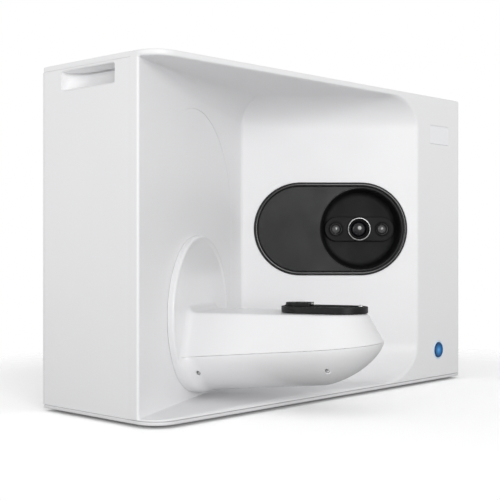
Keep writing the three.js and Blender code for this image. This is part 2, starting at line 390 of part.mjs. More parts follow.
// ---------------------------------------------------------------- boards, ports and fan at the rear
{
  const board = join(box(345, 455, 146, 147.6, 60, 190), box(372, 398, 141, 146.5, 110, 136), box(416, 446, 139, 146.5, 72, 84), box(352, 362, 138, 146.5, 150, 182), box(410, 424, 140, 146.5, 150, 164));
  add(O, 'main_board', board, PCB);
  const usb = cut(box(USB_X - 6.1, USB_X + 6.1, 149, D - 0.4, PORT_Z - 5.7, PORT_Z + 5.7), box(USB_X - 4.3, USB_X + 4.3, 152, D + 2, PORT_Z - 4, PORT_Z + 4));
  add(O, 'usb_socket', usb, STEEL);
  add(O, 'dc_inlet', cut(cylY(7.1, DC_X, PORT_Z, 150, D - 0.4, 18), cylY(4.6, DC_X, PORT_Z, 153, D + 2, 16)), BLACK);
  const FY = 146.6;
  const frameOuter = roundRect(FAN_X - 30, FAN_X + 30, FAN_Z - 30, FAN_Z + 30, 4);
  frameOuter.holes.push(new THREE.Path().absarc(FAN_X, FAN_Z, 27.5, 0, 2 * Math.PI));
  const struts = [0, 1, 2, 3].map(i => new THREE.BoxGeometry(20, 2, 3).translate(18.5, 0, 0).rotateY(i * Math.PI / 2 + 0.5).translate(FAN_X, FY + 1, FAN_Z));
  add(O, 'fan_frame', join(plateXZ(frameOuter, FY, D - 3, 12), cylY(11, FAN_X, FAN_Z, FY, FY + 2, 16), ...struts), BLACK);
  const blades = [];
  for (let i = 0; i < 7; i++) blades.push(new THREE.BoxGeometry(18, 1.4, 11).rotateX(0.6).translate(17, 0, 0).rotateY(i * 2 * Math.PI / 7).translate(FAN_X, FY + 8, FAN_Z));
  add(O, 'fan_rotor', join(cylY(11, FAN_X, FAN_Z, FY + 2.6, FY + 14, 21), ...blades), DARK);
}

export default scanner;
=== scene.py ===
import json
import math

import bmesh
import bpy
import numpy as np
from mathutils import Matrix, Vector


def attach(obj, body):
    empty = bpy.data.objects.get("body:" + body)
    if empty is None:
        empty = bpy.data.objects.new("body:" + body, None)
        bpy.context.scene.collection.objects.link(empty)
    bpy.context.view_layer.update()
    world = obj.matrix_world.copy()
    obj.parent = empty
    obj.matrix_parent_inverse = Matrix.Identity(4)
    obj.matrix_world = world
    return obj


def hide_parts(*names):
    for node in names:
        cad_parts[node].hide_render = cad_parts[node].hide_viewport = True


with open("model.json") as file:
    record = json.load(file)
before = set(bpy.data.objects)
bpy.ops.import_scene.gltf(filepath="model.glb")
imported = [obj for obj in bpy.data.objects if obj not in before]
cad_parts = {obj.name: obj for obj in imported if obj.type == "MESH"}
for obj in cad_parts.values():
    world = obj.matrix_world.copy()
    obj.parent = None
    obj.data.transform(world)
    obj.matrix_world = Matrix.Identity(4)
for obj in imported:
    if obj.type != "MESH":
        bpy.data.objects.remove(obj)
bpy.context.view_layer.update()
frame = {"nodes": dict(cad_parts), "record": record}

N = frame["nodes"]

# ------------------------------------------------------------------ dimensions, in millimetres
# "O" frame: x from the left side, y back from the front plane, z up from the desk
W, D, H = 505.0, 165.0, 340.0
YC = 34.3
SEAM_LO, FLOOR, CEIL = 6.6, 8.4, 334.0
FRONT_D = 33.5
CORNER_R = 25.0
MOUTH_X = 413.5
LW = np.array([2.5, 23.2])
LA = math.radians(24.87)
LDIR = np.array([math.cos(LA), math.sin(LA)])
LNRM = np.array([math.sin(LA), -math.cos(LA)])          # out of the left bay wall, into the bay
S2 = math.sqrt(0.5)
DISC_S, TILT_Z, DISC_R = 144.5, 94.2, 80.3
ARCH_R, ARCH_Z = 110.2, 194.0
ARM_C, ARM_TOP = 135.0, 97.3
TOP_W, TOP_A, CREASE_W, CREASE_A = 39.0, 42.9, 56.0, 58.4
CREASE_Z, SLOPE, HULL_D, HULL_P = 54.0, 0.0805, 39.1, 1.58
WIN_C, WIN_Z, WIN_A, WIN_B = -102.3, 182.4, 89.4, 53.95
POD_C, POD_R = -66.9, 48.0
LENS_X = (-94.5, -67.2, -40.1)
BTN_X, BTN_Z = 457.1, 38.0
BADGE = (438.9, 479.1, 284.0, 306.0)
HY0, HY1, HZ0, HZ1 = 55.0, 135.0, 313.0, 333.0
PZ, PT = 97.7, 6.1
LORG = LW + DISC_S * LDIR


def o2w(p):
    """O frame (mm) to the row frame (m)."""
    p = np.asarray(p, float)
    return (p - np.array([W / 2, YC, 0.0])) / 1000.0


def lg(p):
    """Drive frame (u along the left wall, L out into the bay, z) to the O frame."""
    p = np.atleast_2d(np.asarray(p, float))
    xy = LORG + p[:, :1] * LDIR + p[:, 1:2] * LNRM
    return np.column_stack([xy, p[:, 2]])


def cg(p):
    """Optics frame (x along the camera wall, y behind it, z) to the O frame."""
    p = np.atleast_2d(np.asarray(p, float))
    return np.column_stack([MOUTH_X + S2 * p[:, 0] + S2 * p[:, 1], -S2 * p[:, 0] + S2 * p[:, 1], p[:, 2]])


def same(p):
    return np.atleast_2d(np.asarray(p, float))


# ------------------------------------------------------------------ materials
def new_mat(name):
    m = bpy.data.materials.new(name)
    m.use_nodes = True
    nt = m.node_tree
    return m, nt, nt.nodes["Principled BSDF"]


def coords(nt, scale=1.0):
    t = nt.nodes.new("ShaderNodeTexCoord")
    mp = nt.nodes.new("ShaderNodeMapping")
    mp.inputs["Scale"].default_value = (scale, scale, scale) if not hasattr(scale, "__len__") else scale
    nt.links.new(t.outputs["Object"], mp.inputs["Vector"])
    return mp.outputs["Vector"]


def noise(nt, vec, scale, detail=3.0, rough=0.5):
    n = nt.nodes.new("ShaderNodeTexNoise")
    n.inputs["Scale"].default_value = scale
    n.inputs["Detail"].default_value = detail
    n.inputs["Roughness"].default_value = rough
    nt.links.new(vec, n.inputs["Vector"])
    return n.outputs["Fac"]


def ramp(nt, fac, lo, hi, a=0.0, b=1.0):
    r = nt.nodes.new("ShaderNodeValToRGB")
    r.color_ramp.elements[0].position = a
    r.color_ramp.elements[1].position = b
    r.color_ramp.elements[0].color = (*lo, 1) if hasattr(lo, "__len__") else (lo, lo, lo, 1)
    r.color_ramp.elements[1].color = (*hi, 1) if hasattr(hi, "__len__") else (hi, hi, hi, 1)
    nt.links.new(fac, r.inputs["Fac"])
    return r.outputs["Color"]


def bump(nt, bsdf, height, strength, dist):
    b = nt.nodes.new("ShaderNodeBump")
    b.inputs["Strength"].default_value = strength
    b.inputs["Distance"].default_value = dist
    nt.links.new(height, b.inputs["Height"])
    nt.links.new(b.outputs["Normal"], bsdf.inputs["Normal"])


def plastic(name, c_lo, c_hi, r_lo, r_hi, grain=2600.0, g_strength=0.03, spec=0.5, coat=0.0, coat_rough=0.15):
    """Moulded plastic: faint colour clouding, faint roughness clouding and a fine spark-eroded grain."""
    m, nt, b = new_mat(name)
    v = coords(nt)
    nt.links.new(ramp(nt, noise(nt, v, 9.0, 2.0), c_lo, c_hi, 0.3, 0.7), b.inputs["Base Color"])
    nt.links.new(ramp(nt, noise(nt, v, 34.0, 3.0), r_lo, r_hi, 0.3, 0.7), b.inputs["Roughness"])
    bump(nt, b, noise(nt, v, grain, 2.0), g_strength, 0.0001)
    b.inputs["Specular IOR Level"].default_value = spec
    b.inputs["Coat Weight"].default_value = coat
    b.inputs["Coat Roughness"].default_value = coat_rough
    return m


def metal(name, c_lo, c_hi, r_lo, r_hi, stretch=(1, 1, 1), scale=400.0, strength=0.08, metallic=1.0):
    """Metal with brushing or milling marks that run along one axis."""
    m, nt, b = new_mat(name)
    v = coords(nt, stretch)
    n = noise(nt, v, scale, 4.0, 0.6)
    nt.links.new(ramp(nt, n, c_lo, c_hi, 0.25, 0.75), b.inputs["Base Color"])
    nt.links.new(ramp(nt, n, r_lo, r_hi, 0.25, 0.75), b.inputs["Roughness"])
    b.inputs["Metallic"].default_value = metallic
    bump(nt, b, n, strength, 0.0001)
    return m


WHITE = plastic("housing_white", (0.862, 0.862, 0.872), (0.875, 0.875, 0.884), 0.40, 0.47, 3000.0, 0.02, 0.45)
GLOSS = plastic("arm_white", (0.862, 0.862, 0.872), (0.875, 0.875, 0.884), 0.30, 0.36, 3000.0, 0.012, 0.5, 0.25, 0.12)
SATIN = plastic("housing_satin", (0.84, 0.84, 0.85), (0.855, 0.855, 0.865), 0.5, 0.58, 2200.0, 0.06, 0.4)
# grip cups: the housing white made a shade lighter, painted light for the brightly lit scoop floor
GRIP_WHITE_PAINTED_LIGHT = plastic("grip_white_painted_light", (0.865, 0.865, 0.872), (0.878, 0.878, 0.884), 0.42, 0.5, 2600.0, 0.02, 0.4)
BASE = plastic("base_paint", (0.77, 0.77, 0.78), (0.80, 0.80, 0.81), 0.35, 0.45, 900.0, 0.08, 0.5)
RUBBER = plastic("foot_rubber", (0.02, 0.02, 0.02), (0.035, 0.035, 0.035), 0.8, 0.92, 1200.0, 0.3, 0.3)
BEZEL = plastic("bezel_black", (0.005, 0.005, 0.0053), (0.008, 0.008, 0.0084), 0.15, 0.20, 2600.0, 0.02, 0.5, 0.0, 0.2)
PANEL = plastic("window_dark", (0.0135, 0.0135, 0.0141), (0.0165, 0.0165, 0.0172), 0.42, 0.52, 2400.0, 0.08, 0.28)
RECESS = plastic("recess_black", (0.0032, 0.0032, 0.0034), (0.0048, 0.0048, 0.0050), 0.5, 0.62, 2400.0, 0.1, 0.20)
PLATE = plastic("plate_black", (0.0055, 0.0055, 0.0058), (0.0095, 0.0095, 0.010), 0.36, 0.48, 1500.0, 0.22, 0.28)
MODULE = plastic("module_black", (0.03, 0.03, 0.032), (0.05, 0.05, 0.053), 0.45, 0.6, 1300.0, 0.2, 0.5)
BELT = plastic("belt_rubber", (0.02, 0.02, 0.02), (0.03, 0.03, 0.03), 0.7, 0.85, 900.0, 0.4, 0.3)
BADGE_M = plastic("badge_satin", (0.885, 0.888, 0.91), (0.90, 0.903, 0.925), 0.32, 0.4, 1800.0, 0.03, 0.5)
ALU = metal("bracket_alu", 0.55, 0.68, 0.3, 0.45, (1, 1, 8), 260.0, 0.1)
ZINC = metal("zinc_steel", 0.42, 0.56, 0.32, 0.5, (1, 1, 1), 90.0, 0.05)
STEEL = metal("ground_steel", 0.5, 0.64, 0.27, 0.36, (1, 1, 10), 500.0, 0.06)
RING = metal("lens_ring", 0.10, 0.16, 0.27, 0.34, (1, 1, 1), 900.0, 0.03)
RING_EDGE = metal("lens_ring_edge", 0.24, 0.32, 0.27, 0.33, (1, 1, 1), 900.0, 0.03)


def glass_mat(name, tint, rough):
    """Coated lens front: a dark glossy element with a faint coloured coat."""
    m, nt, b = new_mat(name)
    v = coords(nt)
    nt.links.new(ramp(nt, noise(nt, v, 160.0, 2.0), tint, tuple(x * 1.5 for x in tint), 0.3, 0.7), b.inputs["Base Color"])
    nt.links.new(ramp(nt, noise(nt, v, 60.0, 2.0), rough, rough + 0.03, 0.3, 0.7), b.inputs["Roughness"])
    b.inputs["Specular IOR Level"].default_value = 0.5
    b.inputs["Coat Weight"].default_value = 0.35
    b.inputs["Coat Roughness"].default_value = 0.12
    return m


LENS = glass_mat("lens_glass", (0.005, 0.005, 0.007), 0.15)
LENS_SIDE = glass_mat("lens_glass_side", (0.06, 0.06, 0.062), 0.18)


def button_mat():
    """Lit blue cap: bright middle that falls to deep blue at the rim, by distance from the cap's centre."""
    m, nt, b = new_mat("button_blue")
    t = nt.nodes.new("ShaderNodeTexCoord")
    c = o2w((BTN_X, 0, BTN_Z))
    sub = nt.nodes.new("ShaderNodeVectorMath"); sub.operation = "SUBTRACT"
    sub.inputs[1].default_value = (c[0], 0, c[2])
    mul = nt.nodes.new("ShaderNodeVectorMath"); mul.operation = "MULTIPLY"
    mul.inputs[1].default_value = (1, 0, 1)
    ln = nt.nodes.new("ShaderNodeVectorMath"); ln.operation = "LENGTH"
    mr = nt.nodes.new("ShaderNodeMapRange")
    mr.inputs["From Min"].default_value = 0.0
    mr.inputs["From Max"].default_value = 0.0092
    nt.links.new(t.outputs["Object"], sub.inputs[0])
    nt.links.new(sub.outputs[0], mul.inputs[0])
    nt.links.new(mul.outputs[0], ln.inputs[0])
    nt.links.new(ln.outputs["Value"], mr.inputs["Value"])
    r = nt.nodes.new("ShaderNodeValToRGB")
    e = r.color_ramp.elements
    e[0].position = 0.0; e[0].color = (0.075, 0.250, 0.50, 1)
    e[1].position = 1.0; e[1].color = (0.0012, 0.026, 0.080, 1)
    x = e.new(0.26); x.color = (0.026, 0.160, 0.38, 1)
    x = e.new(0.52); x.color = (0.005, 0.090, 0.25, 1)
    x = e.new(0.76); x.color = (0.0015, 0.042, 0.125, 1)
    nt.links.new(mr.outputs["Result"], r.inputs["Fac"])
    nt.links.new(r.outputs["Color"], b.inputs["Base Color"])
    nt.links.new(r.outputs["Color"], b.inputs["Emission Color"])
    b.inputs["Emission Strength"].default_value = 0.6
    v = coords(nt)
    nt.links.new(ramp(nt, noise(nt, v, 300.0, 2.0), 0.27, 0.33, 0.3, 0.7), b.inputs["Roughness"])
    b.inputs["Specular IOR Level"].default_value = 0.3
    b.inputs["Coat Weight"].default_value = 0.12
    return m


BLUE = button_mat()


def halo_mat():
    m, nt, b = new_mat("button_halo")
    v = coords(nt)
    nt.links.new(ramp(nt, noise(nt, v, 200.0, 2.0), (0.62, 0.74, 0.86), (0.68, 0.79, 0.90), 0.3, 0.7), b.inputs["Base Color"])
    nt.links.new(ramp(nt, noise(nt, v, 300.0, 2.0), 0.28, 0.36, 0.3, 0.7), b.inputs["Roughness"])
    b.inputs["Emission Color"].default_value = (0.5, 0.72, 0.95, 1)
    b.inputs["Emission Strength"].default_value = 0.12
    return m


HALO = halo_mat()


def board_mat():
    m, nt, b = new_mat("circuit_green")
    v = coords(nt)
    br = nt.nodes.new("ShaderNodeTexBrick")
    br.inputs["Scale"].default_value = 180.0
    br.inputs["Color1"].default_value = (0.02, 0.13, 0.05, 1)
    br.inputs["Color2"].default_value = (0.03, 0.18, 0.07, 1)
    br.inputs["Mortar"].default_value = (0.10, 0.32, 0.14, 1)
    br.inputs["Mortar Size"].default_value = 0.03
    nt.links.new(v, br.inputs["Vector"])
    nt.links.new(br.outputs["Color"], b.inputs["Base Color"])
    nt.links.new(ramp(nt, noise(nt, v, 240.0, 2.0), 0.3, 0.5, 0.3, 0.7), b.inputs["Roughness"])
    bump(nt, b, br.outputs["Fac"], 0.2, 0.0001)
    return m


PCB = board_mat()

MATS = {
    "housing_white": WHITE, "housing_satin": SATIN, "base_paint": BASE, "foot_rubber": RUBBER, "bezel_black": BEZEL,
    "window_dark": PANEL, "recess_black": RECESS, "lens_ring": RING, "lens_glass": LENS, "module_black": MODULE,
    "bracket_alu": ALU, "zinc_steel": ZINC, "ground_steel": STEEL, "belt_rubber": BELT, "plate_black": PLATE,
    "button_halo": HALO, "button_blue": BLUE, "circuit_green": PCB, "badge_satin": BADGE_M,
}
for sp in frame["record"]["subparts"]:
    ob = N.get(sp["node"])
    if ob is not None:
        ob.data.materials.clear()
        ob.data.materials.append(MATS[sp["material_slot"]])
        for poly in ob.data.polygons:
            poly.use_smooth = False


# ------------------------------------------------------------------ mesh helpers
def obj_from(name, verts_o, faces, mat, body, replaces=(), smooth=True):
    """A mesh object from O-frame millimetres."""
    me = bpy.data.meshes.new(name)
    me.from_pydata([tuple(v) for v in o2w(verts_o)], [], [tuple(int(i) for i in f) for f in faces])
    me.validate()
    ob = bpy.data.objects.new(name, me)
    bpy.context.scene.collection.objects.link(ob)
    for m in (mat if isinstance(mat, (list, tuple)) else [mat]):
        me.materials.append(m)
    for p in me.polygons:
        p.use_smooth = smooth
    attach(ob, body)
    if replaces:
        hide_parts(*replaces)
    return ob


def clean(ob, dist=1e-6, flip_check=True):
    bm = bmesh.new()
    bm.from_mesh(ob.data)
    bmesh.ops.remove_doubles(bm, verts=bm.verts, dist=dist)
    bmesh.ops.dissolve_degenerate(bm, edges=bm.edges, dist=dist * 0.5)
    if flip_check:
        bmesh.ops.recalc_face_normals(bm, faces=bm.faces)
    bm.to_mesh(ob.data)
    bm.free()
    ob.data.update()


def apply_mods(ob):
    bpy.context.view_layer.update()
    dg = bpy.context.evaluated_depsgraph_get()
    me = bpy.data.meshes.new_from_object(ob.evaluated_get(dg))
    old = ob.data
    ob.modifiers.clear()
    ob.data = me
    bpy.data.meshes.remove(old)


def solidify(ob, t):
    md = ob.modifiers.new("s", "SOLIDIFY")
    md.thickness = t / 1000.0
    md.offset = -1.0
    md.use_even_offset = False
    md.use_quality_normals = True
    apply_mods(ob)


def boolean(ob, cutter, op="DIFFERENCE"):
    md = ob.modifiers.new("b", "BOOLEAN")
    md.operation = op
    md.solver = "EXACT"
    md.object = cutter
    apply_mods(ob)
    bpy.data.objects.remove(cutter)


def sharp_normals(ob, angle=32.0):
    """Smooth shading with creases kept."""
    for p in ob.data.polygons:
        p.use_smooth = True
    ob.data.set_sharp_from_angle(angle=math.radians(angle))


def even_normals(ob, angle=40.0):
    """Smooth edges that leave the large flat faces truly flat: corner normals weighted by face area."""
    sharp_normals(ob, angle)
    md = ob.modifiers.new("w", "WEIGHTED_NORMAL")
    md.mode = "FACE_AREA"
    md.weight = 100
    md.keep_sharp = True
    apply_mods(ob)


def field_normals(ob, field, tol=0.06):
    """Shading normals straight from the surface function where the mesh lies on it, face normals elsewhere."""
    me = ob.data
    nv, nl = len(me.vertices), len(me.loops)
    co = np.zeros(nv * 3); me.vertices.foreach_get("co", co)
    co = co.reshape(-1, 3) * 1000.0 + np.array([W / 2, YC, 0.0])
    g, d = grad(field, co)
    on = np.abs(d) < tol
    lv = np.zeros(nl, int); me.loops.foreach_get("vertex_index", lv)
    npoly = len(me.polygons)
    fn = np.zeros(npoly * 3); me.polygons.foreach_get("normal", fn); fn = fn.reshape(-1, 3)
    ls = np.zeros(npoly, int); me.polygons.foreach_get("loop_start", ls)
    lt = np.zeros(npoly, int); me.polygons.foreach_get("loop_total", lt)
    owner = np.repeat(np.arange(npoly), lt)
    order = np.concatenate([np.arange(a, a + b) for a, b in zip(ls, lt)]) if npoly else np.zeros(0, int)
    face_of = np.zeros(nl, int); face_of[order] = owner
    nrm = fn[face_of].copy()
    gl = g[lv]
    ok = on[lv] & ((gl * nrm).sum(1) > 0.45)
    nrm[ok] = gl[ok]
    for p in me.polygons:
        p.use_smooth = True
    me.normals_split_custom_set([tuple(n) for n in nrm])


def prism(outline, lo, hi, conv, axis="y", flare=None):
    """Closed prism from a 2-D outline. axis: not used; the outline is always in x,z and swept over y. flare widens the
    lo end by an outline of its own.
    """
    pts = np.asarray(outline, float)
    rings = []
    if flare is not None:
        f = np.asarray(flare[0], float)
        levels = [(lo, f), (flare[1], f), (flare[2], pts), (hi, pts)]
    else:
        levels = [(lo, pts), (hi, pts)]
    for y, r in levels:
        rings.append(np.column_stack([r[:, 0], np.full(len(r), y), r[:, 1]]))
    n = len(pts)
    v = np.vstack([conv(r) for r in rings])
    f = []
    for k in range(len(rings) - 1):
        for i in range(n):
            j = (i + 1) % n
            f.append((k * n + i, k * n + j, (k + 1) * n + j, (k + 1) * n + i))
    f.append(tuple(range(n - 1, -1, -1)))
    f.append(tuple((len(rings) - 1) * n + i for i in range(n)))
    me = bpy.data.meshes.new("cut")
    me.from_pydata([tuple(p) for p in o2w(v)], [], f)
    ob = bpy.data.objects.new("cut", me)
    bpy.context.scene.collection.objects.link(ob)
    bm = bmesh.new(); bm.from_mesh(me)
    bmesh.ops.recalc_face_normals(bm, faces=bm.faces)
    bm.to_mesh(me); bm.free()
    return ob


def stadium_pts(cx, cz, a, b, n=40):
    t = np.linspace(-math.pi / 2, math.pi / 2, n)
    r = [(cx + (a - b) + b * math.cos(x), cz + b * math.sin(x)) for x in t]
    r += [(cx - (a - b) - b * math.cos(x), cz - b * math.sin(x)) for x in t]
    return r


def circle_pts(cx, cz, r, n=64):
    return [(cx + r * math.cos(2 * math.pi * i / n), cz + r * math.sin(2 * math.pi * i / n)) for i in range(n)]


def arch_pts(r, z0, n=72):
    t = np.linspace(0, math.pi, n)
    return [(-r, z0), (r, z0)] + [(r * math.cos(x), ARCH_Z + r * math.sin(x)) for x in t]


def rrect_pts(x0, x1, z0, z1, r, n=8):
    out = []
    for cx, cz, a in ((x1 - r, z0 + r, -90), (x1 - r, z1 - r, 0), (x0 + r, z1 - r, 90), (x0 + r, z0 + r, 180)):
        for i in range(n + 1):
            t = math.radians(a + 90 * i / n)
            out.append((cx + r * math.cos(t), cz + r * math.sin(t)))
    return out


def lathe(name, profile, cx, cz, conv, mat, body, n=96, replaces=(), angle=32.0, midx=None):
    """Turned piece about an axis along y through (cx, cz); profile is a closed loop or starts and ends on the axis."""
    prof = np.asarray(profile, float)
    closed = prof[0][0] > 1e-6
    m = len(prof)
    v, f = [], []
    th = 2 * math.pi * np.arange(n) / n
    for r, y in prof:
        for t in th:
            v.append((cx + r * math.cos(t), y, cz + r * math.sin(t)))
    segs = m if closed else m - 1
    for k in range(segs):
        a, b = k, (k + 1) % m
        for i in range(n):
            j = (i + 1) % n
            f.append((a * n + i, a * n + j, b * n + j, b * n + i))
    ob = obj_from(name, conv(np.array(v)), f, mat, body, replaces)
    if midx is not None:
        k = 0
        for s in range(segs):
            for i in range(n):
                ob.data.polygons[k].material_index = midx(s)
                k += 1
    clean(ob)
    sharp_normals(ob, angle)
    return ob


def arc(cx, cy, r, a0, a1, n):
    return [(cx + r * math.cos(math.radians(a0 + (a1 - a0) * i / n)), cy + r * math.sin(math.radians(a0 + (a1 - a0) * i / n))) for i in range(n + 1)]


def bevel(ob, width, segments=3, angle=35.0):
    md = ob.modifiers.new("v", "BEVEL")
    md.width = width / 1000.0
    md.segments = segments
    md.limit_method = "ANGLE"
    md.angle_limit = math.radians(angle)
    md.harden_normals = False
    apply_mods(ob)


def bevel_sel(ob, pick, width, segments=4):
    """Round only the edges whose two ends both satisfy pick(x, y, z), in mm."""
    bm = bmesh.new()
    bm.from_mesh(ob.data)
    def ok(v):
        return pick(v.co.x * 1000 + W / 2, v.co.y * 1000 + YC, v.co.z * 1000)
    ed = [e for e in bm.edges if len(e.link_faces) == 2 and e.calc_face_angle(0) > 0.7 and ok(e.verts[0]) and ok(e.verts[1])]
    bmesh.ops.bevel(bm, geom=ed, offset=width / 1000.0, segments=segments, affect="EDGES", profile=0.5, clamp_overlap=True)
    bm.to_mesh(ob.data)
    bm.free()


# ------------------------------------------------------------------ surface functions
def i_round(a, b, r):
    """Intersection of two solids with a rounded edge of radius r."""
    u, v = np.maximum(a + r, 0), np.maximum(b + r, 0)
    return np.minimum(-r, np.maximum(a, b)) + np.sqrt(u * u + v * v)


def u_round(a, b, r):
    return -i_round(-a, -b, r)


def smooth(a, b, x):
    """Smooth step from 0 at a to 1 at b; b may lie below a."""
    t = np.clip((x - a) / (b - a), 0, 1)
    return t * t * (3 - 2 * t)


def grad(field, p, h=0.02):
    g = np.zeros_like(p)
    for k in range(3):
        e = np.zeros(3); e[k] = h
        g[:, k] = (field(p + e) - field(p - e)) / (2 * h)
    d = field(p)
    n = np.linalg.norm(g, axis=1, keepdims=True)
    d = d / np.maximum(n[:, 0], 1e-6)
    return g / np.maximum(n, 1e-9), d


def project(field, p, steps=8, cap=4.0):
    p = p.copy()
    for _ in range(steps):
        g, d = grad(field, p)
        p -= g * np.clip(d, -cap, cap)[:, None]
    return p


def surface_net(field, lo, hi, h):
    """Quad mesh of field = 0 on a grid of pitch h, drawn onto the surface afterwards."""
    ax = [np.arange(lo[k], hi[k] + h, h) for k in range(3)]
    nx, ny, nz = (len(a) for a in ax)
    gx, gy, gz = np.meshgrid(*ax, indexing="ij")
    val = field(np.column_stack([gx.ravel(), gy.ravel(), gz.ravel()])).reshape(nx, ny, nz)
    ins = val < 0
    cnt = np.zeros((nx - 1, ny - 1, nz - 1)); acc = np.zeros((nx - 1, ny - 1, nz - 1, 3))
    c = [(i, j, k) for i in (0, 1) for j in (0, 1) for k in (0, 1)]
    for a in c:
        for k in range(3):
            if a[k]:
                continue
            b = list(a); b[k] = 1; b = tuple(b)
            va = val[a[0]:nx - 1 + a[0], a[1]:ny - 1 + a[1], a[2]:nz - 1 + a[2]]
            vb = val[b[0]:nx - 1 + b[0], b[1]:ny - 1 + b[1], b[2]:nz - 1 + b[2]]
            m = (va < 0) != (vb < 0)
            t = np.where(m, va / np.where(m, va - vb, 1), 0)
            for q in range(3):
                off = a[q] + (t if q == k else 0)
                acc[..., q] += np.where(m, off, 0)
            cnt += m
    act = cnt > 0
    idx = -np.ones(act.shape, int); idx[act] = np.arange(act.sum())
    cell = np.argwhere(act)
    v = np.array(lo) + (cell + acc[act] / cnt[act][:, None]) * h
    faces = []
    for k in range(3):
        o = [q for q in range(3) if q != k]
        sl0 = [slice(None)] * 3; sl1 = [slice(None)] * 3
        sl0[k] = slice(0, -1); sl1[k] = slice(1, None)
        s = ins[tuple(sl0)] != ins[tuple(sl1)]
        e = np.argwhere(s)
        e = e[(e[:, o[0]] > 0) & (e[:, o[1]] > 0) & (e[:, o[0]] < val.shape[o[0]] - 1) & (e[:, o[1]] < val.shape[o[1]] - 1)]
        d0 = np.zeros(3, int); d0[o[0]] = 1
        d1 = np.zeros(3, int); d1[o[1]] = 1
        q = [idx[tuple((e - d0 - d1).T)], idx[tuple((e - d1).T)], idx[tuple(e.T)], idx[tuple((e - d0).T)]]
        q = np.array(q).T
        flip = ins[tuple(e.T)]
        if k == 1:
            flip = ~flip
        q[~flip] = q[~flip][:, ::-1]
        faces.append(q)
    faces = np.vstack(faces)
    faces = faces[(faces >= 0).all(1)]
    return v, faces


# ------------------------------------------------------------------ front shell
def void_field(p):
    """The scanning bay: negative inside. Corner radii grow smoothly from the left wall to the camera wall."""
    x, y, z = p[:, 0], p[:, 1], p[:, 2]
    dc = (MOUTH_X - x - y) * S2
    dl = (x - LW[0]) * LNRM[0] + (y - LW[1]) * LNRM[1]
    s = (x - LW[0]) * LDIR[0] + (y - LW[1]) * LDIR[1]
    t = smooth(-34, 34, dl - dc)
    rl = 1.5 + 27.0 * smooth(10, 285, s)
    r_top = rl * (1 - t) + 35.0 * t
    r_bot = 1.2 * (1 - t) + 42.0 * t
    w = i_round(-dc, -dl, 3.0)
    v = i_round(w, FLOOR - z, r_bot)
    return i_round(v, z - CEIL, r_top)


def plan_field(p):
    x, y = p[:, 0], p[:, 1]
    a = i_round(-x, -y, CORNER_R)
    return i_round(a, x - W, 4.5)


def outer_field(p):
    return i_round(i_round(plan_field(p), p[:, 2] - H, 1.6), SEAM_LO - p[:, 2], 0.5)


def shell_field(p):
    return i_round(outer_field(p), -void_field(p), 1.4 + 1.3 * (1 - smooth(4, 24, p[:, 0])))


def wall_y(x):
    return np.minimum(LW[1] + (x - LW[0]) * math.tan(LA), MOUTH_X - x)


def front_y(x):
    return np.where(x < CORNER_R, CORNER_R - np.sqrt(np.maximum(CORNER_R ** 2 - (CORNER_R - x) ** 2, 0)), 0.0)


def shell_columns():
    """(x, y) on the front curve and on the wall curve, left to right."""
    cols = []
    for y in (FRONT_D, 31.5, 28.5, 26.5, 25.2, 24.4, 23.8, 23.3, 22.8):
        cols.append((0.0, y, 0.0, y))
    for a in (7.5, 8.3, 9.2, 10.5, 12.5, 15, 18, 21.5, 25, 29, 33, 38, 43, 48, 54, 60, 66, 72, 78, 84, 90):
        x = CORNER_R - CORNER_R * math.cos(math.radians(a))
        cols.append((x, float(front_y(np.array(x))), x, float(wall_y(np.array(x)))))
    xs = list(np.arange(32, 256, 7.0)) + [260, 263.5, 265.5, 266.6, 267.3, 268.0, 268.8, 270, 272, 275, 279, 284] + list(np.arange(291, 350, 7.0))
    xs += list(np.arange(352, 396, 4.0)) + [398, 400.5, 403, 405, 407, 408.6, 410, 411.2, 412.1, 412.7, 413.1]
    for x in xs:
        cols.append((x, 0.0, x, float(wall_y(np.array(float(x))))))
    for x in [413.5, 413.9, 414.4, 415, 416, 418, 422] + list(np.arange(428, 500, 8.0)) + [500, 502, 503, 503.7, 504.3, 504.8]:
        cols.append((x, 0.0, x, 0.0))
    for y in (0.2, 0.7, 1.3, 2.0, 3.5, 6, 12, 20, 28, FRONT_D):
        cols.append((W, y, W, y))
    return cols


